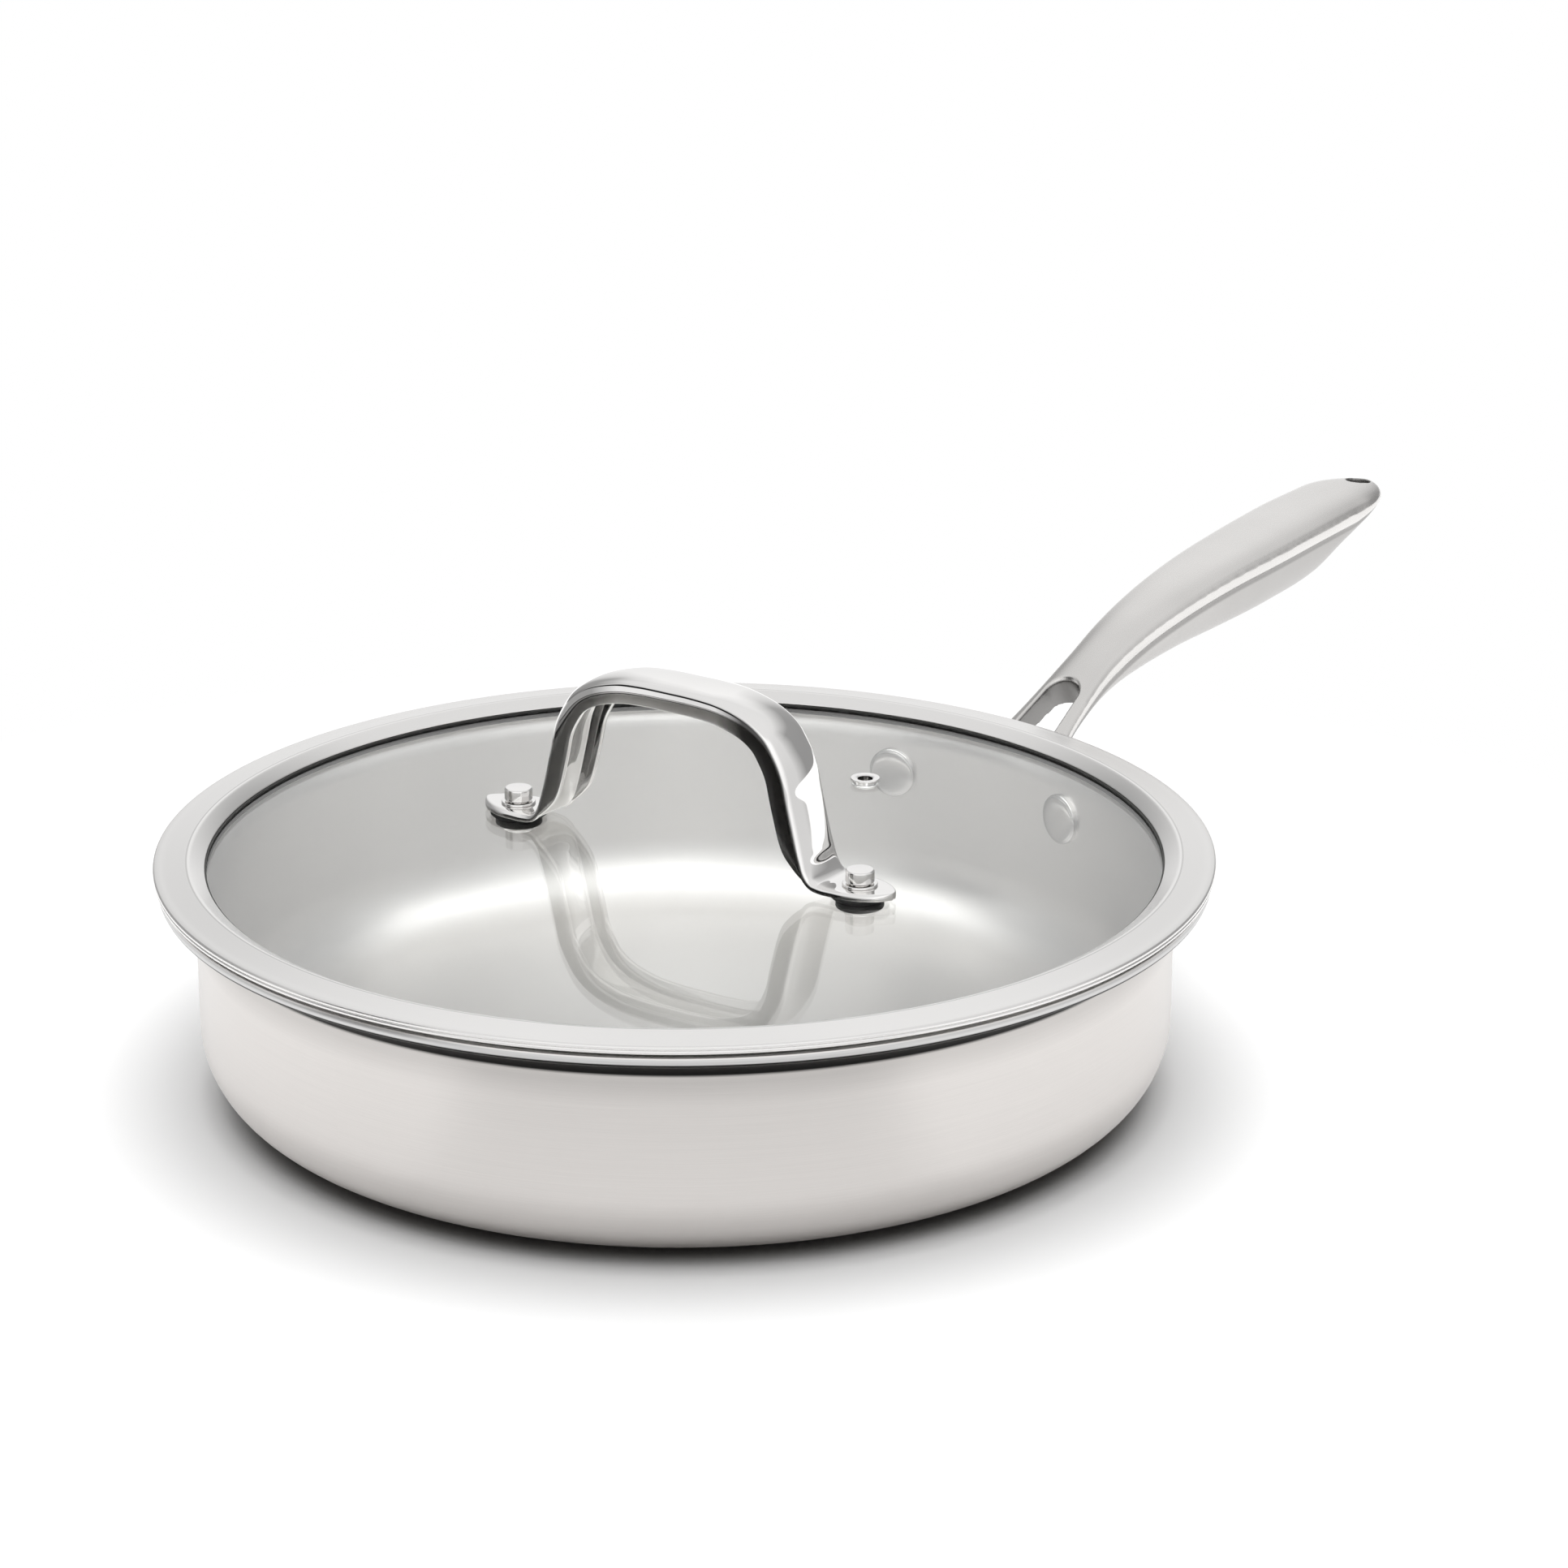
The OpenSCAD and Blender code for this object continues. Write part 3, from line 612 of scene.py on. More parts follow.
def grip_ring(x):
    """Section of the grip: crowned top, rounded side band, step in, belly."""
    share = x / HANDLE_LEN
    run = HANDLE_W / 2 * TIP_SHARE
    k = math.sqrt(max(0.0, 1 - max(0.0, (x - HANDLE_LEN + run) / run) ** 2))
    ahead = min(x + SLOPE_STEP, HANDLE_LEN)
    pitch = math.atan2(grip_rise(ahead) - grip_rise(x - SLOPE_STEP), ahead - x + SLOPE_STEP)
    w = HANDLE_W / 2 * over(HANDLE_SHARES, share, 2) * k
    c = CROWN_H * over(HANDLE_SHARES, share, 3)
    b = BELLY_H * over(HANDLE_SHARES, share, 4) * math.sqrt(k)
    bead = min(BEAD_H, BEAD_SHARE * b)
    inset = min(BEAD_INSET, INSET_SHARE * w) * bead / BEAD_H
    raised = BEAD_RAISE * bead / BEAD_H
    top_w, belly_w = w - raised, w - inset
    half_turn = [math.pi * j / RING_STEPS for j in range(RING_STEPS + 1)]
    top = [(squared(a, TOP_POWER) * top_w, c * k ** CROWN_POWER * math.sin(a) - c)
           for a in half_turn]
    belly = [(-squared(a, BELLY_POWER) * belly_w, -c - bead - (b - bead) * math.sin(a))
             for a in half_turn]
    side = []
    for j in range(1, BEAD_STEPS + 1):
        a = math.pi * (BEAD_START + BEAD_TURN * j / BEAD_STEPS)
        if a > math.pi / 2:
            y = top_w + raised - (inset + raised) * (1 - math.sin(a))
        else:
            y = top_w + raised * math.sin(a)
        side.append((y, -c - bead * (0.5 - 0.5 * math.cos(math.pi * j / BEAD_STEPS))))
    outline = top + [(-y, o) for y, o in side] + belly[1:-1] + side[::-1]
    return [(PAN_OUT + x - o * math.sin(pitch), y, RIVET_Z + grip_rise(x) + o * math.cos(pitch))
            for y, o in outline]


def grip_places():
    """Places of the sections, closer together round the tip."""
    start = HANDLE_LEN * HANDLE_SHARES[0][0]
    tip = HANDLE_LEN - HANDLE_W / 2 * TIP_SHARE
    body = [start + (tip - start) * i / GRIP_STEPS for i in range(GRIP_STEPS)]
    return body + [tip + (HANDLE_LEN - tip) * math.sin(math.radians(TIP_TURN) * i / TIP_STEPS)
                   for i in range(TIP_STEPS + 1)]


def grip():
    rings = [grip_ring(x) for x in grip_places()]
    n = len(rings[0])
    points = [p for ring in rings for p in ring]
    faces = []
    for i in range(len(rings) - 1):
        for j in range(n):
            k = (j + 1) % n
            faces.append([i * n + j, (i + 1) * n + j, (i + 1) * n + k, i * n + k])
    last = (len(rings) - 1) * n
    faces.append(list(range(n)))
    faces.append([last + j for j in reversed(range(n))])
    return mesh_object("handle_casting", points, faces)


FLANGE_COLUMNS, FLANGE_ROWS = 120, 12
FLANGE_END = 0.995              # share of the end's radius that the last column reaches


def flange():
    """Curved bar on the wall, with round ends, in a grid of columns."""
    half_h = FLANGE_H / 2
    reach = RIVET_Y + half_h * FLANGE_END
    column = FLANGE_ROWS + 1
    points, faces = [], []
    for side_r in (PAN_OUT, PAN_OUT + FLANGE_T):
        for i in range(FLANGE_COLUMNS + 1):
            y = -reach + 2 * reach * i / FLANGE_COLUMNS
            past = max(0.0, abs(y) - RIVET_Y)
            h = math.sqrt(half_h ** 2 - past ** 2)
            for j in range(column):
                z = RIVET_Z - h + 2 * h * j / FLANGE_ROWS
                points.append((math.sqrt(side_r ** 2 - y * y), y, z))
    size = (FLANGE_COLUMNS + 1) * column
    for i in range(FLANGE_COLUMNS):
        for j in range(FLANGE_ROWS):
            a = i * column + j
            b = a + column
            faces.append([a, a + 1, b + 1, b])
            faces.append([size + a, size + b, size + b + 1, size + a + 1])
    border = ([i * column for i in range(FLANGE_COLUMNS + 1)]
              + [FLANGE_COLUMNS * column + j for j in range(1, column)]
              + [i * column + FLANGE_ROWS for i in range(FLANGE_COLUMNS - 1, -1, -1)]
              + [j for j in range(FLANGE_ROWS - 1, 0, -1)])
    for p, q in zip(border, border[1:] + border[:1]):
        faces.append([p, q, size + q, size + p])
    return mesh_object("flange", points, faces)


def cutter(name, low, low_outline, high, high_outline, place):
    """Solid between two plane outlines of equal length, at the heights low and high."""
    n = len(low_outline)
    points = [place((x, y, z)) for z, outline in ((low, low_outline), (high, high_outline))
              for x, y in outline]
    faces = [list(reversed(range(n))), [n + i for i in range(n)]]
    faces += [[i, (i + 1) % n, n + (i + 1) % n, n + i] for i in range(n)]
    return mesh_object(name, points, faces)


SLOT_TILT = 31.0
SLOT_START, SLOT_LEN, SLOT_W = 7.5, 35.0, 10.4
SLOT_FLARE = 1.5                # half width at the root, over the half width at the round end
SLOT_END = SLOT_START + SLOT_LEN - SLOT_W / 2
SLOT_TOP = 4.2                  # height of the top face over the slot's base line
SLOT_EASE = 0.8                 # width of the slot's eased edge
SLOT_LOW, SLOT_HIGH = -30, 60   # reach of the cutter down and up
HANG_R, HANG_EDGE = 3.5, 5.0    # the hole for hanging, and its middle's distance from the tip
HANG_X = PAN_OUT + HANDLE_LEN - HANG_EDGE
HANG_LOW, HANG_HIGH = 60, 120   # heights of the hole's cutter
HANG_STEPS = 72
VOXEL = 0.36                    # grain of the remesh that blends the casting
CAST_SHARP = math.radians(60)


def slot_outline(wider=0.0):
    r = SLOT_W / 2 + wider
    start = SLOT_START - wider
    round_end = [(SLOT_END + r * math.sin(math.radians(a)), -r * math.cos(math.radians(a)))
                 for a in range(0, 181, 6)]
    return [(start, -r * SLOT_FLARE)] + round_end + [(start, r * SLOT_FLARE)]


# As-cast finish with painted shade, and painted shade alone: shares, and distances over which
# they end
CUT_FADE = (0.1, 0.35)          # from the wall of the slot or the hole
SLOT_MARGIN = 0.5               # before the slot's start
CREASE_SHADE = 0.85               # painted shade in the crease under the side band
CREASE_LOW = 0.9                # its depth under the band
CREASE_FADE = (0.5, 1.9)
CREASE_START = 9.0              # distance from the wall
GRIP_LINE_SHADE = 0.18                 # painted shade on the line between the top and the band
LINE_FADE = (0.05, 0.45)
LINE_START, LINE_STOP = 30.0, 130.0
GRIP_MIN = 1.0                  # least place along the grip
BELLY_SHADE, BELLY_MORE = 0.25, 0.45      # painted shade on the belly at the root, and more towards the tip


def ramp(value, full, none):
    """1 at full, 0 at none, straight between them."""
    return min(1.0, max(0.0, (none - value) / (none - full)))


def raw_and_painted_shade(p):
    """1 on the walls of the slot and the hole, as-cast with painted shade; less, as painted
    shade, in the crease, along the line under the top and on the belly; else 0.
    """
    x, y, z = (c / MM for c in p)
    tilt = math.radians(SLOT_TILT)
    run = (x - PAN_OUT) * math.cos(tilt) + (z - RIVET_Z) * math.sin(tilt)
    widen = 1 + (SLOT_FLARE - 1) * ramp(run, SLOT_START, SLOT_END)
    slot = ramp(math.hypot(max(run - SLOT_END, 0.0), y) - SLOT_W / 2 * widen, *CUT_FADE)
    slot *= run > SLOT_START - SLOT_MARGIN
    hole = ramp(math.hypot(x - HANG_X, y) - HANG_R, *CUT_FADE)
    # Three rounds settle on the section that the point lies in
    reach = min(max(x - PAN_OUT, GRIP_MIN), HANDLE_LEN)
    half = SLOPE_STEP / 2
    for _ in range(3):
        pitch = math.atan2(grip_rise(reach + half) - grip_rise(reach - half), SLOPE_STEP)
        out = ((z - RIVET_Z - grip_rise(reach)) * math.cos(pitch)
               - (x - PAN_OUT - reach) * math.sin(pitch))
        reach = min(max(x - PAN_OUT + out * math.sin(pitch), GRIP_MIN), HANDLE_LEN)
    share = reach / HANDLE_LEN
    under = -CROWN_H * over(HANDLE_SHARES, share, 3) - out
    deep = min(BEAD_H, BEAD_SHARE * BELLY_H * over(HANDLE_SHARES, share, 4))
    crease = CREASE_SHADE * ramp(abs(under - deep - CREASE_LOW), *CREASE_FADE)
    crease *= reach > CREASE_START
    line = GRIP_LINE_SHADE * ramp(abs(under), *LINE_FADE) * (LINE_START < reach < LINE_STOP)
    belly = (BELLY_SHADE + BELLY_MORE * share) * (under > deep)
    return max(slot, hole, crease, line, belly)


def pan_handle():
    """Grip and flange blended into one casting, with the slot and the hole cut out."""
    obj = grip()
    join(obj, flange())
    modify(obj, "REMESH", mode="VOXEL", voxel_size=VOXEL * MM)
    tilt = Matrix.Rotation(math.radians(-SLOT_TILT), 3, "Y")
    base = Vector((PAN_OUT, 0, RIVET_Z))

    def on_slope(p):
        return base + tilt @ Vector(p)

    carve(obj, cutter("slot", SLOT_LOW, slot_outline(), SLOT_HIGH, slot_outline(), on_slope))
    # The edge cutter slopes at 45 degrees, from the eased depth to well over the top face
    carve(obj, cutter("slot_edge", SLOT_TOP - SLOT_EASE, slot_outline(),
                      SLOT_TOP + 5 * SLOT_EASE, slot_outline(6 * SLOT_EASE), on_slope))
    turns = [2 * math.pi * i / HANG_STEPS for i in range(HANG_STEPS)]
    ring = [(HANG_X + HANG_R * math.cos(a), HANG_R * math.sin(a)) for a in turns]
    carve(obj, cutter("hang_hole", HANG_LOW, ring, HANG_HIGH, ring, Vector))
    modify(obj, "REMESH", mode="VOXEL", voxel_size=VOXEL * MM)
    modify(obj, "SMOOTH", factor=0.5, iterations=3)
    smooth(obj, CAST_SHARP)
    # Per point: as-cast finish with painted shade on the walls of the slot and the hole, painted
    # shade in the crease, along the line and on the belly
    raw_shade = obj.data.attributes.new("raw_shade", "FLOAT", "POINT")
    raw_shade.data.foreach_set("value", [raw_and_painted_shade(v.co) for v in obj.data.vertices])
    finish_piece(obj, "pan", "handle_cast", cast, "pan_handle")


pan_handle()


# Rivets

HEAD_R, HEAD_H = 6.75, 2.0      # inside the pan
HEAD_EDGE, HEAD_CROWN = 0.65, 0.55
TAIL_R, TAIL_H = 5.0, 1.8       # formed on the flange
TAIL_EDGE, TAIL_CROWN, TAIL_SIDE = 0.6, 0.7, 0.55
SHANK_R = 3.0
RIVET_SINK = 0.1                # reach of the heads into what they sit on


def rivet(name, side):
    """Low button head inside, shank, and the formed head outside on the flange."""
    angle = side * math.asin(RIVET_Y / PAN_R)
    crown_r, crown_z = HEAD_R - HEAD_EDGE, PAN_R - HEAD_H + HEAD_CROWN
    profile = [(0.0, PAN_R - HEAD_H)] + dome(crown_r, crown_z, -HEAD_CROWN, 80, 0, -10)
    profile += arc(crown_r, crown_z + HEAD_EDGE, HEAD_EDGE, -90, 0, 5)
    profile += [(HEAD_R, PAN_R + RIVET_SINK), (SHANK_R, PAN_R + RIVET_SINK)]
    tail_z = PAN_OUT + FLANGE_T
    crown_r, crown_z = TAIL_R - TAIL_EDGE, tail_z + TAIL_H - TAIL_CROWN
    profile += [(SHANK_R, tail_z - RIVET_SINK), (TAIL_R, tail_z - RIVET_SINK)]
    profile += arc(crown_r, tail_z + TAIL_SIDE, TAIL_EDGE, 0, 60, 4)
    profile += dome(crown_r, crown_z, TAIL_CROWN, 20, 90) + [(0.0, tail_z + TAIL_H)]

    def place(p):
        return (p[2] * math.cos(angle) - p[1] * math.sin(angle),
                p[2] * math.sin(angle) + p[1] * math.cos(angle), RIVET_Z - p[0])

    obj = lathe(name + "_piece", profile, place, SMALL_TURN)
    finish_piece(obj, "pan", "rivets", rivet_steel, name)


rivet("rivet_left", 1)
rivet("rivet_right", -1)


# Lid rim and steam vent

HEM_TOP_R, HEM_LOW_R = 0.62, 0.56       # the two rolls of the folded outer edge
HEM_LOW_Z = -1.62               # middle of the lower one


def slope_top(r):
    return CREST_H - SLOPE_H * (CREST_R - r) / SLOPE_W


def lid_rim():
    """Rim from one strip: rounded lip, crest, flange, folded hem with its slit, channel."""
    half_t = STRIP_T / 2
    lip = arc(RIM_IN + half_t, slope_top(RIM_IN) - half_t, half_t, 270, 117, 6)
    crest = [(CREST_R - 0.8, slope_top(CREST_R - 0.8)),
             (CREST_R - 0.4, slope_top(CREST_R - 0.4) + 0.03), (CREST_R, CREST_H - 0.05),
             (CREST_R + 0.4, CREST_H - 0.06), (CREST_R + 0.9, CREST_H - 0.11)]
    edge = LID_R - HEM_TOP_R
    hem = [(LID_R - 3.2, 0.20), (LID_R - 1.8, 0.09)]
    hem += arc(edge, -HEM_TOP_R, HEM_TOP_R, 85, -55, 8) + [(edge + 0.05, -1.18)]
    hem += arc(edge, HEM_LOW_Z, HEM_LOW_R, 55, -90, 8)
    under = [(LID_R - 2.6, -2.1), (LID_R - 3.2, -1.6), (LID_R - 3.3, -0.95),
             (CREST_R + 0.6, -0.1), (CHANNEL_OUT + 0.25, slope_top(CHANNEL_OUT) - 1.15)]
    foot = arc(CHANNEL_OUT - CHANNEL_R, CHANNEL_LOW + CHANNEL_R, CHANNEL_R, 0, -90, 6)
    channel = [(RIM_IN + 0.2, CHANNEL_LOW), (RIM_IN, CHANNEL_LOW + half_t),
               (RIM_IN + 0.2, CHANNEL_LOW + STRIP_T), (GASKET_OUT, CHANNEL_LOW + STRIP_T),
               (GASKET_OUT, slope_top(GASKET_OUT) - STRIP_T)]
    obj = lathe("lid_rim", lip + crest + hem + under + foot + channel, on_lid)
    finish_piece(obj, "lid", "ring", ring_steel, "lid_ring")


lid_rim()

VENT_REACH, VENT_ANGLE = 73.0, 86.0
VENT_BORE_R, VENT_R = 2.0, 2.7  # inside and outside of the eyelet's tube
VENT_LOW_R, VENT_LOW_ROLL = 3.3, 0.3    # rolled flange under the glass
VENT_TOP_R, VENT_TOP_ROLL = 3.7, 0.2    # and on the glass


def vent():
    """Eyelet with a rolled flange on both sides of the glass."""
    profile = [(VENT_BORE_R, GLASS_LOW - VENT_LOW_ROLL)]
    profile += arc(VENT_LOW_R, GLASS_LOW - VENT_LOW_ROLL, VENT_LOW_ROLL, -90, 90, 6)
    profile += [(VENT_R, GLASS_LOW), (VENT_R, GLASS_TOP)]
    profile += arc(VENT_TOP_R, GLASS_TOP + VENT_TOP_ROLL, VENT_TOP_ROLL, -90, 90, 6)
    profile += [(VENT_BORE_R + 0.5, GLASS_TOP + 0.35), (VENT_BORE_R, GLASS_TOP + 0.1)]
    a = math.radians(VENT_ANGLE)

    def place(p):
        return on_lid((p[0] + VENT_REACH * math.cos(a), p[1] + VENT_REACH * math.sin(a), p[2]))

    obj = lathe("vent_eyelet", profile, place, SMALL_TURN)
    finish_piece(obj, "lid", "fixings", bright_steel, "steam_vent")


vent()


# Lid handle

STRAP_W = 15.5
STRAP_RISE = 45.0 - PAD_T - STRAP_T - STRAP_HOLLOW
STRAP_SIDE, STRAP_CROWN, STRAP_TOE = 5.7, 1.2, 10.0
STRAP_EDGE = STRAP_T * 0.75     # rounding between the outer face and the sides
INNER_EDGE_SHARE = 0.33         # of that rounding, inside the sheet
STRAP_NIP = 0.35                # rounding of the sheet's free edges
TOE_SHARE, TOE_POWER = 0.28, 0.6
TOE_TURN = 84                   # how far the toe's sections go round it, in degrees
# Share of the half pitch, of the rise over the foot, of the side depth, of the crown
STRAP_SHARES = [
    (0.935, 0.000, 0.00, 0.0),
    (0.875, 0.000, 0.00, 0.0),
    (0.824, 0.014, 0.10, 0.1),
    (0.790, 0.062, 0.40, 0.4),
    (0.765, 0.145, 0.75, 0.8),
    (0.742, 0.240, 0.95, 1.0),
    (0.700, 0.450, 1.00, 1.0),
    (0.667, 0.620, 1.00, 1.0),
    (0.621, 0.739, 1.00, 1.0),
    (0.557, 0.845, 1.00, 1.0),
    (0.453, 0.927, 1.00, 1.0),
    (0.303, 0.981, 1.00, 1.0),
    (0.152, 0.998, 1.00, 1.0),
    (0.000, 1.000, 1.00, 1.0)]
STRAP_STEPS, TOE_STEPS, EDGE_STEPS = 130, 22, 16
STRAP_SHARP = math.radians(40)


def strap_ring(w, side, crown):
    """Section of the strap as (across, out): a hollow channel with rounded edges."""
    deep = max(side, STRAP_T + STRAP_HOLLOW)
    wi = w - min(STRAP_T, w / 3)
    inner_edge = min(STRAP_EDGE, deep - STRAP_T) * INNER_EDGE_SHARE
    nip = min(STRAP_NIP, w / 8)
    outer, inner = [], []
    for k in range(-EDGE_STEPS, EDGE_STEPS + 1):
        y = math.sin(math.pi / 2 * k / EDGE_STEPS)
        fall = 1 - math.sqrt(max(0.0, 1 - y ** 8))
        outer.append((w * y, crown * (1 - y * y) - STRAP_EDGE * fall))
        inner.append((wi * y, crown * (1 - y * y) - STRAP_T - inner_edge * fall))
    right = [(w, -deep + nip), (w - nip * 0.3, -deep + nip * 0.3), (w - nip, -deep)]
    right += [(wi + nip, -deep), (wi + nip * 0.3, -deep + nip * 0.3), (wi, -deep + nip)]
    left = [(-y, o) for y, o in right[::-1]]
    return left[3:] + outer + right + inner[::-1] + left[:3]


def strap_half():
    """Stations from the toe to the top: place, height, side depth, crown, half width."""
    toe = STRAP_TOE * (1 + TOE_SHARE)
    out = []
    for i in range(TOE_STEPS + 1):
        t = math.sin(math.radians(TOE_TURN) * (1 - i / TOE_STEPS))
        out.append((STRAP_X + STRAP_TOE - toe * (1 - t), 0.0, 0.0, 0.0,
                    STRAP_W / 2 * (1 - t * t) ** TOE_POWER))
    last = len(STRAP_SHARES) - 1
    whole = (STRAP_X, STRAP_RISE, STRAP_SIDE, STRAP_CROWN)
    for i in range(STRAP_STEPS + 1):
        u = last * i / STRAP_STEPS
        out.append((*(size * along(STRAP_SHARES, u, c) for c, size in enumerate(whole)),
                    STRAP_W / 2))
    return out


def strap():
    half = strap_half()
    path = [(-s[0], *s[1:]) for s in half] + half[-2::-1]
    rings = []
    for i, (x, z, side, crown, w) in enumerate(path):
        p, q = path[max(i - 1, 0)], path[min(i + 1, len(path) - 1)]
        run = math.hypot(q[0] - p[0], q[1] - p[1])
        nx, nz = (p[1] - q[1]) / run, (q[0] - p[0]) / run
        rings.append([(x + o * nx, y, FOOT_TOP + z + o * nz)
                      for y, o in strap_ring(w, side, crown)])
    obj = loft("strap", rings, on_lid, STRAP_SHARP)
    finish_piece(obj, "lid", "strap", strap_steel, "lid_handle")


strap()


# Fixings of the lid handle

PAD_R, WASHER_R, SEAL_R, SEAL_T = 7.3, 4.4, 6.0, 1.5
PAD_EDGE, WASHER_EDGE, SEAL_EDGE = 0.3, 0.2, 0.4
HOLE_R, SLEEVE_R, SLEEVE_LEN = 2.6, 2.5, 3.0
BUTTON_R, BUTTON_H = 3.6, 3.5
BUTTON_FOOT, BUTTON_EDGE = 0.3, 0.5     # rounding of its lower and its upper edge
BUTTON_LOW = 0.35               # height of its underside over the washer
SCREW_R, SCREW_H = 4.5, 2.2
SCREW_DOME_R, SCREW_DOME = 4.4, 1.3     # radius and height of the screw's dome
SCREW_SIDE = 0.7                # height of its straight side


def fixings(side, word):
    """What holds one foot: pad, washer, button with its sleeve, seal and screw."""
    def place(p):
        return on_lid((p[0] + side * STRAP_X, p[1], p[2]))

    washer_top = FOOT_TOP + WASHER_T
    pad = rounded(PAD_R, GLASS_TOP, GLASS_TOP + PAD_T, PAD_EDGE, HOLE_R)
    washer = rounded(WASHER_R, FOOT_TOP, washer_top, WASHER_EDGE, HOLE_R)
    button_low = washer_top + BUTTON_LOW
    button = [(0.0, washer_top - SLEEVE_LEN), (SLEEVE_R, washer_top - SLEEVE_LEN),
              (SLEEVE_R, button_low)]
    button += arc(BUTTON_R - BUTTON_FOOT, button_low + BUTTON_FOOT, BUTTON_FOOT, -90, 0, 4)
    button += arc(BUTTON_R - BUTTON_EDGE, washer_top + BUTTON_H - BUTTON_EDGE, BUTTON_EDGE,
                  0, 90, 6) + [(0.0, washer_top + BUTTON_H)]
    seal_low = GLASS_LOW - SEAL_T
    seal = rounded(SEAL_R, seal_low, GLASS_LOW, SEAL_EDGE, HOLE_R)
    screw = [(0.0, seal_low - SCREW_H)]
    screw += dome(SCREW_DOME_R, seal_low - SCREW_H + SCREW_DOME, -SCREW_DOME, 80, -1, -10)
    screw += [(SCREW_R, seal_low - SCREW_SIDE), (SCREW_R, seal_low), (0.0, seal_low)]
    for name, profile, slot, material, node in (
            ("foot_pad_", pad, "pads", black_rubber, "pad_"),
            ("thin_washer_", washer, "fixings", bright_steel, "washer_"),
            ("round_button_", button, "fixings", bright_steel, "button_"),
            ("soft_seal_", seal, "pads", grey_rubber, "seal_"),
            ("screw_head_", screw, "fixings", bright_steel, "screw_")):
        obj = lathe(name + word, profile, place, SMALL_TURN)
        finish_piece(obj, "lid", slot, material, node + word)


fixings(-1, "left")
fixings(1, "right")


# CAD nodes that stay, with their finish

for node, material in (("lid_glass", lid_glass), ("lid_gasket", grey_rubber)):
    obj = frame["nodes"][node]
    for slot in obj.material_slots:
        slot.material = material
    smooth(obj)
frame["nodes"]["lid_glass"].visible_shadow = False


# Camera at the photograph's angle

FOCAL_PX, SIZE_PX = 6000.0, 1932.0      # pixels of the photograph
SENSOR = 36.0
VIEW_TURN = math.radians(49.0)
VIEW_PITCH = math.radians(19.24)
CAMERA = Vector((24.7, -1145.8, 477.5))  # millimetres to the right, away and up

right = Vector((math.cos(VIEW_TURN), -math.sin(VIEW_TURN), 0))
away = Vector((math.sin(VIEW_TURN), math.cos(VIEW_TURN), 0))
look = away * math.cos(VIEW_PITCH) - Vector((0, 0, 1)) * math.sin(VIEW_PITCH)
camera = bpy.data.objects.new("camera", bpy.data.cameras.new("camera"))
bpy.context.scene.collection.objects.link(camera)
camera.data.sensor_width = SENSOR
camera.data.lens = SENSOR * FOCAL_PX / SIZE_PX
camera.data.clip_start = 0.01
stand = (right * CAMERA.x + away * CAMERA.y + Vector((0, 0, CAMERA.z))) * MM
turn = Matrix((right, right.cross(look), -look)).transposed().to_4x4()
camera.matrix_world = Matrix.Translation(stand) @ turn
bpy.context.scene.camera = camera


# Floor and studio, in metres

def radians(low, high):
    return math.radians(low), math.radians(high)


def direct_rays(n):
    """1 for rays that see the background: from the camera, in gloss and through glass.
    Light that the pan throws on the floor doesn't count, so its shadow stays dark."""
    rays = n.make("LightPath")
    seen = n.math("MAXIMUM", rays.outputs["Is Camera Ray"], rays.outputs["Is Glossy Ray"])
    seen = n.math("MAXIMUM", seen, rays.outputs["Is Transmission Ray"])
    return n.times(seen, n.math("LESS_THAN", rays.outputs["Diffuse Depth"], 0.5))


# Colours of the floor, which is lit by the lamp, by distance from the pan's middle
FLOOR_SIZE = 4.0                # from the middle to each side
FLOOR_SEEN = 1.60               # to the camera, at which open floor is white
CONTACT_SHADE = 0.3             # painted shadow: share of that where the pan stands
CONTACT_SPAN = (0.110, 0.124)
NEAR_GLOSS, FAR_GLOSS = 1.75, 1.4       # in gloss and through glass, painted lighter near the pan
GLOSS_SPAN = (0.125, 0.18)
FLOOR_OTHER = 0.8               # to all other light
FRONT_SHADE = 0.38              # painted shade in gloss, on the camera's side of the pan
FRONT_TURN = radians(34, 41)    # angle from the camera's direction where that ends
FRONT_NEAR, FRONT_SPAN = 0.1, (0.14, 0.28)      # share of it at the pan's foot
WHITE_SPAN = (0.2, 0.34)        # distances over which lit floor becomes plain white
WHITE_GLOSS = 1.25              # that white in gloss, where the camera sees 1


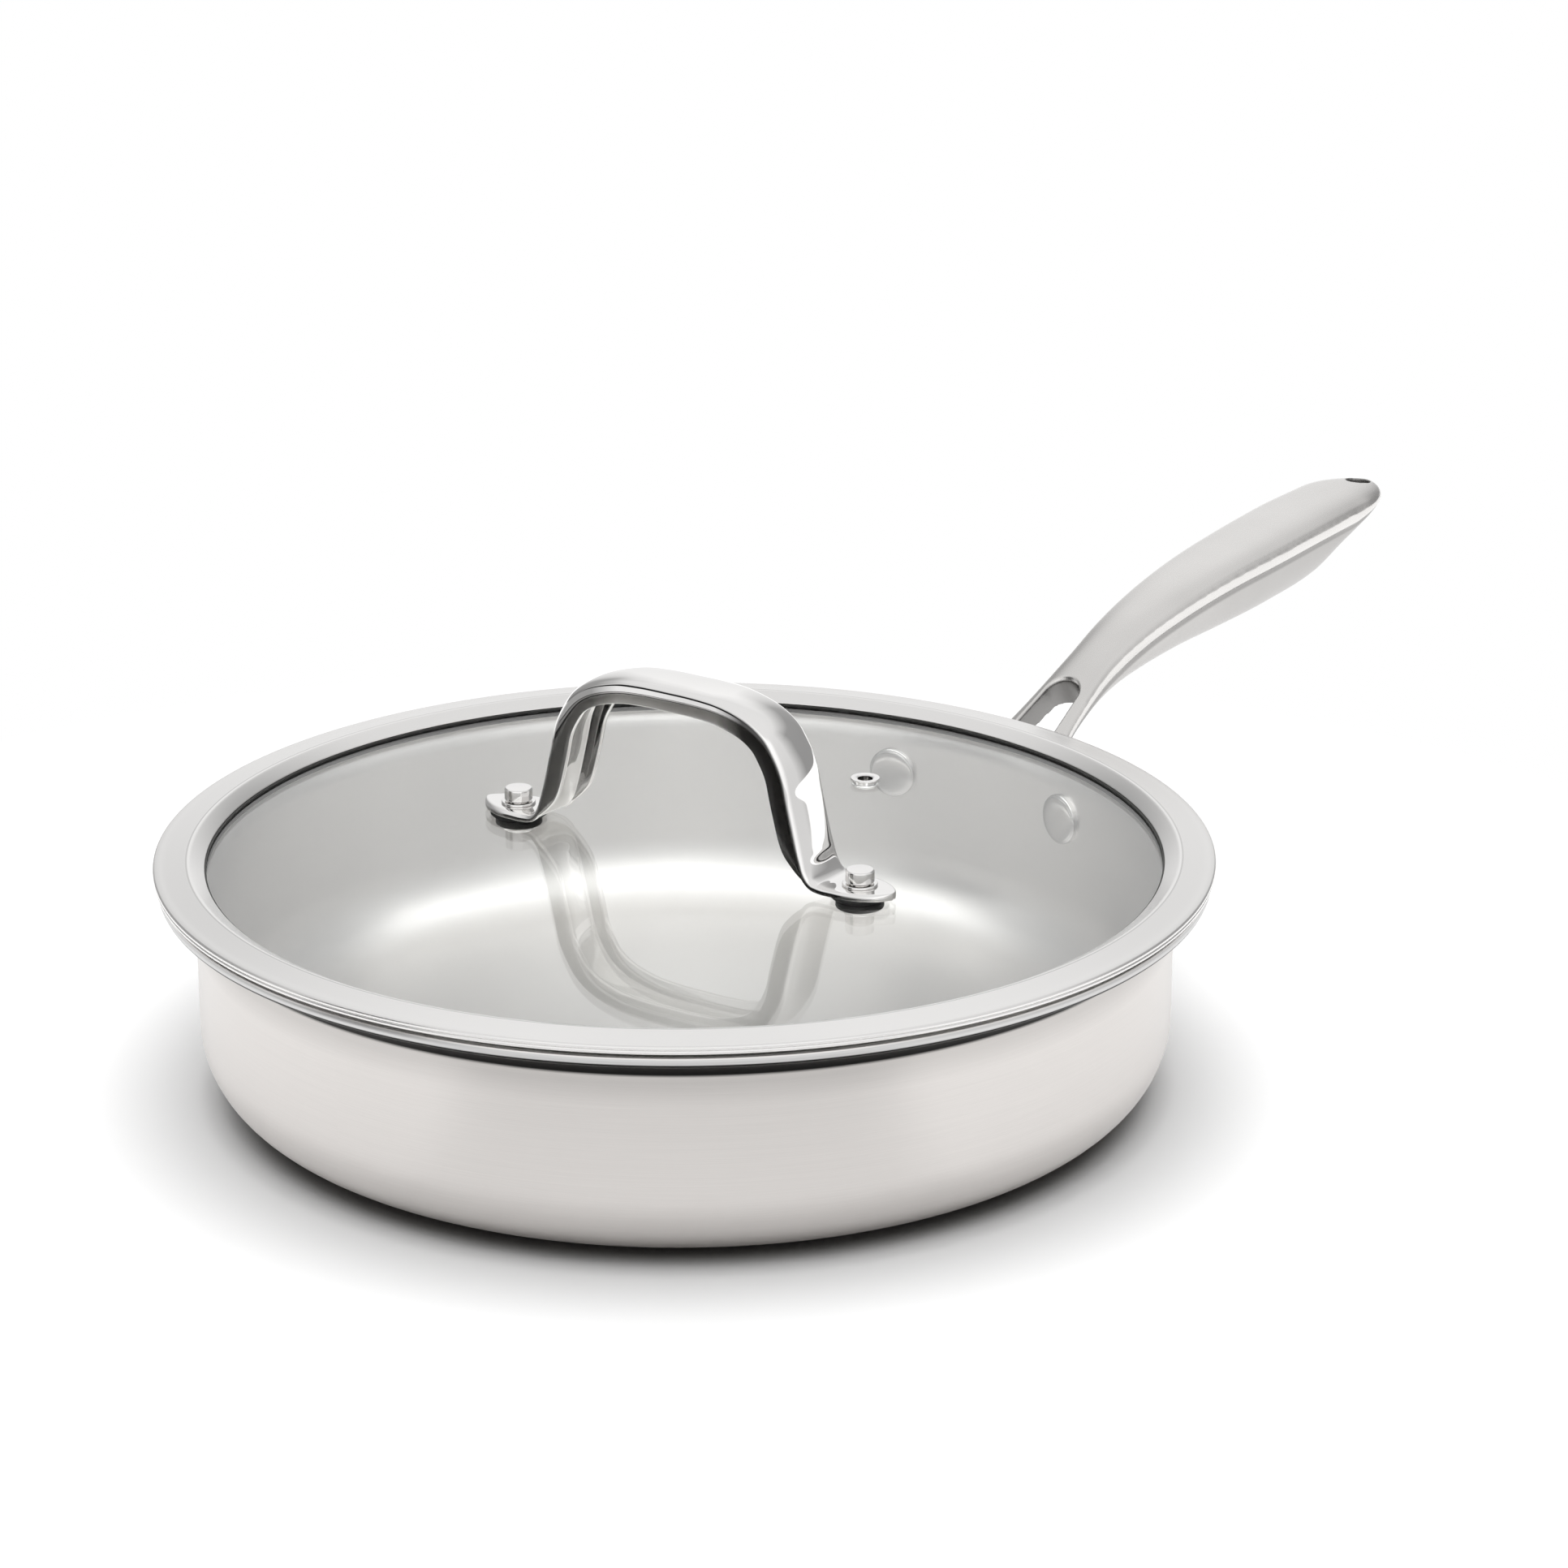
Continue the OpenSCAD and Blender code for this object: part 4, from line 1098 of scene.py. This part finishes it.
def floor():
    """Pale floor that keeps the pan's shadow and fades to plain white away from it. Its colour
    adds a painted shadow where the pan stands, and in gloss painted light near the pan and
    painted shade on the camera's side.
    """
    mesh = bpy.data.meshes.new("floor")
    corners = [(-1, -1, 0), (1, -1, 0), (1, 1, 0), (-1, 1, 0)]
    mesh.from_pydata([Vector(p) * FLOOR_SIZE for p in corners], [], [(0, 1, 2, 3)])
    obj = bpy.data.objects.new("floor", mesh)
    bpy.context.scene.collection.objects.link(obj)
    n = Nodes("floor_white")
    reach, direct = n.radius(), direct_rays(n)
    camera_ray = n.make("LightPath").outputs["Is Camera Ray"]
    other = n.rest(camera_ray)
    turned = n.absolute(n.math("ARCTAN2", n.dot(n.place(), right), n.dot(n.place(), -away)))
    front = n.times(n.span(turned, FRONT_SHADE, 0.0, FRONT_TURN),
                    n.span(reach, FRONT_NEAR, 1.0, FRONT_SPAN))
    front_tone = n.math("MAXIMUM", camera_ray, n.rest(front))
    seen = n.times(camera_ray, FLOOR_SEEN, n.span(reach, CONTACT_SHADE, 1.0, CONTACT_SPAN))
    mirrored = n.times(other, n.span(reach, NEAR_GLOSS, FAR_GLOSS, GLOSS_SPAN))
    level = n.plus(n.times(direct, n.times(n.plus(seen, mirrored), front_tone)),
                   n.times(n.rest(direct), FLOOR_OTHER))
    pale = n.make("BsdfDiffuse")
    n.put(n.combine(level, level, level), pale.inputs["Color"])
    white = n.make("Emission")
    n.put(n.times(front_tone, n.span(other, 1.0, WHITE_GLOSS)), white.inputs["Strength"])
    mix = n.make("MixShader")
    n.put(n.times(direct, n.span(reach, 0.0, 1.0, WHITE_SPAN)), mix.inputs[0])
    n.put(pale.outputs[0], mix.inputs[1])
    n.put(white.outputs[0], mix.inputs[2])
    n.put(mix.outputs[0], n.output.inputs["Surface"])
    mesh.materials.append(n.material)


floor()


# Levels of the studio in gloss, where 1 is white. Angles are degrees: round the pan from the
# camera's side, to the right above 0, and up from the floor.
# Panels: middle and half width round the pan, top, softness of the edges, darkness
PANELS = [
    (-132, 32, 40, 9, 0.55),
    (132, 32, 40, 9, 0.55),
    (-70, 15, 32, 3, 0.97)]
LOW_LEVEL, HIGH_LEVEL, LEVEL_RISE = 0.94, 1.05, radians(12, 45)
ZENITH, ZENITH_RISE = 1.05, radians(44, 60)     # more overhead, as a factor
FRONT_MORE, FRONT_EDGE = 0.45, radians(35, 60)  # more from the camera's side
BACK_MORE, BACK_EDGE = 0.27, radians(140, 165)  # more from behind
MORE_TOP = radians(40, 55)      # height where both end
FILL_LOW, FILL_HIGH, FILL_RISE = 0.04, 0.6, radians(30, 70)     # light on matt surfaces


def world():
    """White studio that lights gloss and glass, with dim panels behind the pan on both sides
    and a dark one left of the camera. Matt surfaces get a soft fill from above."""
    scene_world = bpy.data.worlds.new("studio")
    bpy.context.scene.world = scene_world
    scene_world.use_nodes = True
    n = Nodes(tree=scene_world.node_tree)
    n.tree.nodes.clear()
    toward = n.make("TexCoord").outputs["Generated"]
    side, depth, height = (n.dot(toward, axis) for axis in (right, -away, (0, 0, 1)))
    angle = n.math("ARCTAN2", side, depth)
    upward = n.math("ARCTAN2", height, n.math("SQRT", n.rest(n.times(height, height))))

    def panel(middle, half, top, soft, dark):
        """1 away from the panel and 1 - dark in it."""
        off = n.absolute(n.math("SUBTRACT", angle, math.radians(middle)))
        across = n.span(off, 1.0, 0.0, radians(half - soft, half + soft))
        below = n.span(upward, 1.0, 0.0, radians(top - soft, top + soft))
        return n.rest(n.times(across, below, dark))

    turned = n.absolute(angle)
    more = n.plus(n.span(turned, FRONT_MORE, 0.0, FRONT_EDGE),
                  n.span(turned, 0.0, BACK_MORE, BACK_EDGE))
    seen = n.times(*(panel(*row) for row in PANELS),
                   n.span(upward, LOW_LEVEL, HIGH_LEVEL, LEVEL_RISE),
                   n.span(upward, 1.0, ZENITH, ZENITH_RISE),
                   n.plus(1.0, n.times(n.span(upward, 1.0, 0.0, MORE_TOP), more)))
    direct = direct_rays(n)
    shown = n.math("MAXIMUM", n.make("LightPath").outputs["Is Camera Ray"], seen)
    fill = n.span(upward, FILL_LOW, FILL_HIGH, FILL_RISE)
    background = n.make("Background")
    n.put(n.plus(n.times(direct, shown), n.times(n.rest(direct), fill)),
          background.inputs["Strength"])
    n.put(background.outputs[0], n.make("OutputWorld").inputs["Surface"])


world()

LAMP_SIZE, LAMP_HEIGHT, LAMP_POWER = 2.1, 1.3, 19.0


def top_light():
    """Wide soft lamp over the pan, which doesn't show in gloss."""
    lamp = bpy.data.lights.new("top_light", "AREA")
    lamp.size = LAMP_SIZE
    lamp.energy = LAMP_POWER
    obj = bpy.data.objects.new("top_light", lamp)
    bpy.context.scene.collection.objects.link(obj)
    obj.location = (0.0, 0.0, LAMP_HEIGHT)
    obj.visible_glossy = False


top_light()

bpy.context.scene.view_settings.view_transform = "Standard"
